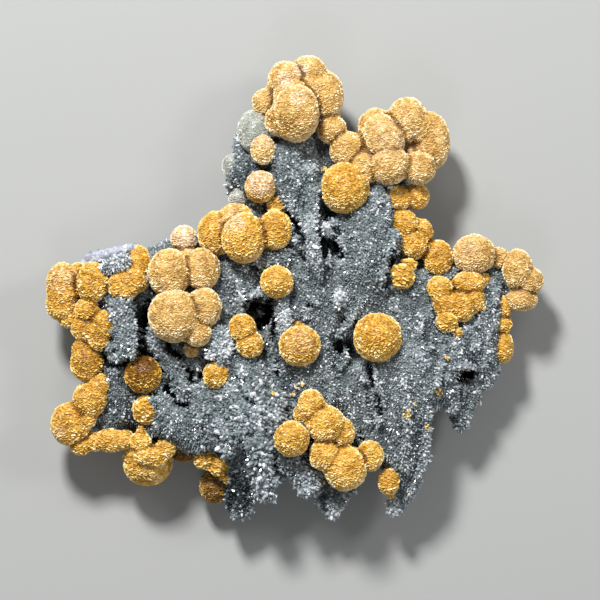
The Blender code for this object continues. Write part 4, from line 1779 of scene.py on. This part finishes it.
        # Painted shade: the druse is painted darker inside the clefts.
        dark = np.max([cleft.inside(points) for cleft in CLEFTS], axis=0)
        pallor -= self.cleft_painted_shade * dark
        balls = [ball for growth in GROWTHS for ball in growth.bodies()]
        outside = np.min([depth_in(points, ball) for ball in balls], axis=0)
        cover = eased(*self.ball_gap, outside)
        cover *= eased(*self.druse_foot, points[:, 2] + self.druse_lift * facing[:, 2])
        cover *= (1.0 - rind) * (1.0 - self.cleft_bare * dark)
        set_values(mesh, "pallor", np.clip(pallor, 0.02, 1.0))
        set_values(mesh, "size", coarse)
        set_values(mesh, "violet", violet)
        set_values(mesh, "stain", stain)
        set_values(mesh, "rind", rind)
        set_values(mesh, "whole_cover", cover)
        set_values(mesh, "lean", np.zeros(len(points)))

    def druse(self, skin: bpy.types.Object, region: Region, shapes: Shapes) -> bpy.types.Object:
        """Strews one region's crystals.

        Args:
            skin: the marked skin.
            region: where.
            shapes: the small crystals.

        Returns:
            The finished piece.
        """
        crystals = copied(skin)
        mesh = crystals.data
        points = places(mesh)
        cover = np.empty(len(points), np.float32)
        mesh.attributes["whole_cover"].data.foreach_get("value", cover)
        inside = np.all((points[:, :2] >= region.low) & (points[:, :2] < region.high), axis=1)
        set_values(mesh, "cover", cover * inside)
        strewing = Scatter(
            self.druse_spacing, self.druse_tilt, self.druse_spin, *self.druse_scale, region.seed
        )
        strewing.over(crystals, shapes.points)
        crystals.name = region.name
        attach(crystals, "root")
        return crystals

    def build(
        self,
        ball_model: bpy.types.Object,
        rib_model: bpy.types.Object,
        shapes: Shapes,
    ) -> list[bpy.types.Object]:
        """Makes the plate's skin and all its crystals.

        Args:
            ball_model: a ball of radius 1.
            rib_model: a plainer one, for the ribs.
            shapes: the small crystals.

        Returns:
            The skin first, then the druse's pieces.
        """
        skin = self.shell(ball_model, rib_model)
        self.mark(skin)
        crystals = [self.druse(skin, region, shapes) for region in REGIONS]
        applied(skin, "DECIMATE", ratio=min(1.0, self.most_triangles / triangles(skin)))
        skin.name = "quartz_plate"
        skin.data.materials.clear()
        skin.data.materials.append(ChalcedonyGround().material())
        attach(skin, "root")
        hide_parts(PLATE_NODE)
        return [skin] + crystals


@dataclass(frozen=True)
class Crumb:
    """A small crumb of gyrolite lying in the druse: where it is seen from above and its radius."""

    x: float
    y: float
    radius: float


@dataclass
class Crumbs:
    """The gyrolite crumbs in the druse, fused from rough lumps."""

    crumbs: tuple[Crumb, ...] = (
        Crumb(-5.5, -26.4, 0.5),
        Crumb(27.6, -31.6, 1.2),
        Crumb(36.0, -26.0, 1.0),
        Crumb(29.8, -29.0, 0.5),
        Crumb(33.1, -34.8, 0.7),
        Crumb(46.9, -5.0, 0.7),
        Crumb(38.0, -17.6, 0.6),
        Crumb(4.2, -55.8, 0.8),
        Crumb(12.1, -54.4, 0.8),
        Crumb(7.2, 29.5, 0.8),
    )
    pale_crumbs: tuple[Crumb, ...] = (
        Crumb(1.8, -23.9, 0.6),
        Crumb(-0.5, -26.6, 0.7),
        Crumb(0.3, -24.9, 0.5),
        Crumb(-28.9, -40.4, 0.8),
        Crumb(6.9, -48.8, 0.6),
    )
    rise: float = 0.4
    least_grains: int = 3
    grain_density: float = 14.0
    grain_radius: tuple[float, float] = (0.16, 0.34)
    voxel: float = 0.14
    rough_size: float = 0.3
    rough_height: float = 0.25
    edge_span: tuple[float, float] = (-0.4, 0.6)
    edge_size: float = 0.5
    shade: float = 0.6
    depth: float = 0.1

    def grains_in(self, crumb: Crumb) -> int:
        """How many grains a crumb of this size has."""
        return self.least_grains + round(self.grain_density * crumb.radius**2)

    def lumps(
        self,
        name: str,
        crumbs: tuple[Crumb, ...],
        ground: BVHTree,
        ball_model: bpy.types.Object,
        finish: bpy.types.Material,
    ) -> bpy.types.Object:
        """Makes one piece of crumbs.

        Args:
            name: the piece's name.
            crumbs: where they lie.
            ground: the druse's ground, to set them on.
            ball_model: a ball of radius 1.
            finish: their material.

        Returns:
            The finished piece.
        """
        copies = []
        dice = random.Random(len(crumbs))
        for crumb in crumbs:
            for _ in range(self.grains_in(crumb)):
                apart, angle = crumb.radius * math.sqrt(dice.random()), dice.uniform(0, math.tau)
                x, y = crumb.x + apart * math.cos(angle), crumb.y + apart * math.sin(angle)
                top = height_at(ground, x, y)
                size = dice.uniform(*self.grain_radius)
                if top is not None:
                    centre = Matrix.Translation(Vector((x, y, top + self.rise)) * MM)
                    copies.append(copied(ball_model, centre @ Matrix.Scale(size * MM, 4)))
        piece = joined(copies)
        applied(piece, "REMESH", mode="VOXEL", voxel_size=self.voxel * MM)
        roughened(piece, "CLOUDS", self.rough_size, self.rough_height)
        piece.name = name
        points = places(piece.data)
        set_values(piece.data, "height", eased(*self.edge_span, mottling(points, self.edge_size)))
        set_values(piece.data, "shade", np.full(len(points), self.shade))
        set_values(piece.data, "depth", np.full(len(points), self.depth))
        piece.data.materials.clear()
        piece.data.materials.append(finish)
        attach(piece, "root")
        return piece

    def build(
        self,
        skin: bpy.types.Object,
        ball_model: bpy.types.Object,
        finishes: dict[Tone, bpy.types.Material],
    ) -> list[bpy.types.Object]:
        """Makes both kinds of crumbs.

        Args:
            skin: the plate's skin.
            ball_model: a ball of radius 1.
            finishes: the gyrolite's materials.

        Returns:
            The finished pieces.
        """
        ground = ground_of(skin)
        kinds = (
            ("golden_crumbs", self.crumbs, Tone.GOLDEN),
            ("pale_crumbs", self.pale_crumbs, Tone.TAN),
        )
        return [
            self.lumps(name, crumbs, ground, ball_model, finishes[tone])
            for name, crumbs, tone in kinds
        ]


@dataclass(frozen=True)
class Lamp:
    """A square soft light: where it hangs, in metres, how wide it is and its power in watts."""

    name: str
    place: tuple[float, float, float]
    width: float
    power: float


@dataclass
class Studio:
    """A plain pale floor, soft lights and a long lens that looks straight down on the display side."""

    view_width: float = 0.150
    view_centre: tuple[float, float] = (0.00125, -0.0031)
    focus_height: float = 0.015
    camera_height: float = 1.4
    sensor_width: float = 36.0
    floor_size: float = 4.0
    floor_colour: str = "a6a7a5"
    floor_roughness: float = 0.8
    world_colour: str = "e9edf2"
    world_strength: float = 0.2
    lamps: tuple[Lamp, ...] = (
        Lamp("key_light", (-0.22, 0.6, 0.66), 0.16, 12.6),
        Lamp("side_light", (0.55, 0.25, 0.5), 0.2, 1.6),
        Lamp("front_light", (-0.1, -0.5, 0.7), 0.3, 0.9),
    )

    def floor(self) -> None:
        """The floor that the specimen lies on."""
        bpy.ops.mesh.primitive_plane_add(size=self.floor_size)
        plane = bpy.context.active_object
        plane.name = "studio_floor"
        made, _, shader = new_material("floor_painted_matt")
        shader.inputs["Base Color"].default_value = linear(self.floor_colour)
        shader.inputs["Roughness"].default_value = self.floor_roughness
        plane.data.materials.append(made)

    def lights(self) -> None:
        """The lamps and the even light around them."""
        for lamp in self.lamps:
            data = bpy.data.lights.new(lamp.name, "AREA")
            data.size = lamp.width
            data.energy = lamp.power
            light = bpy.data.objects.new(lamp.name, data)
            light.location = lamp.place
            light.rotation_euler = Vector(lamp.place).to_track_quat("Z", "Y").to_euler()
            bpy.context.scene.collection.objects.link(light)
        world = bpy.data.worlds.new("studio_air")
        world.use_nodes = True
        background = world.node_tree.nodes["Background"]
        background.inputs["Color"].default_value = linear(self.world_colour)
        background.inputs["Strength"].default_value = self.world_strength
        bpy.context.scene.world = world

    def camera(self) -> None:
        """The camera, straight above the display side with the crown at the top."""
        data = bpy.data.cameras.new("camera")
        data.sensor_width = self.sensor_width
        data.lens = self.sensor_width * (self.camera_height - self.focus_height) / self.view_width
        camera = bpy.data.objects.new("camera", data)
        camera.location = (*self.view_centre, self.camera_height)
        bpy.context.scene.collection.objects.link(camera)
        bpy.context.scene.camera = camera

    def build(self) -> None:
        """Makes the floor, the lights and the camera."""
        self.floor()
        self.lights()
        self.camera()
        bpy.context.scene.view_settings.view_transform = "Standard"


def ball_model(fineness: int) -> bpy.types.Object:
    """A ball of radius 1 that balls are copied from."""
    bpy.ops.mesh.primitive_ico_sphere_add(subdivisions=fineness, radius=1.0)
    return bpy.context.active_object


def triangles(obj: bpy.types.Object) -> int:
    """How many triangles an object's faces make."""
    return sum(len(face.vertices) - 2 for face in obj.data.polygons)


def report(obj: bpy.types.Object) -> None:
    """Logs a finished piece."""
    LOG.info("%s: %d triangles", obj.name, triangles(obj))


def main() -> None:
    """Builds the specimen's looks and the studio around it."""
    logging.basicConfig(level=logging.INFO, format="%(message)s")
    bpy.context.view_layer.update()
    bpy.ops.object.select_all(action="DESELECT")
    shapes = Shapes(DrusyQuartz().material())
    finishes = {tone: finish.material() for tone, finish in FINISHES.items()}
    model, rib_model = ball_model(5), ball_model(3)
    skin, *crystals = Plate().build(model, rib_model, shapes)
    removed(rib_model)
    for piece in [skin, *crystals]:
        report(piece)
    for growth in GROWTHS:
        report(growth.build(model, shapes, finishes[growth.tone]))
    for piece in Crumbs().build(skin, model, finishes):
        report(piece)
    removed(model)
    shapes.put_away()
    Studio().build()


if __name__ == "__main__":
    main()
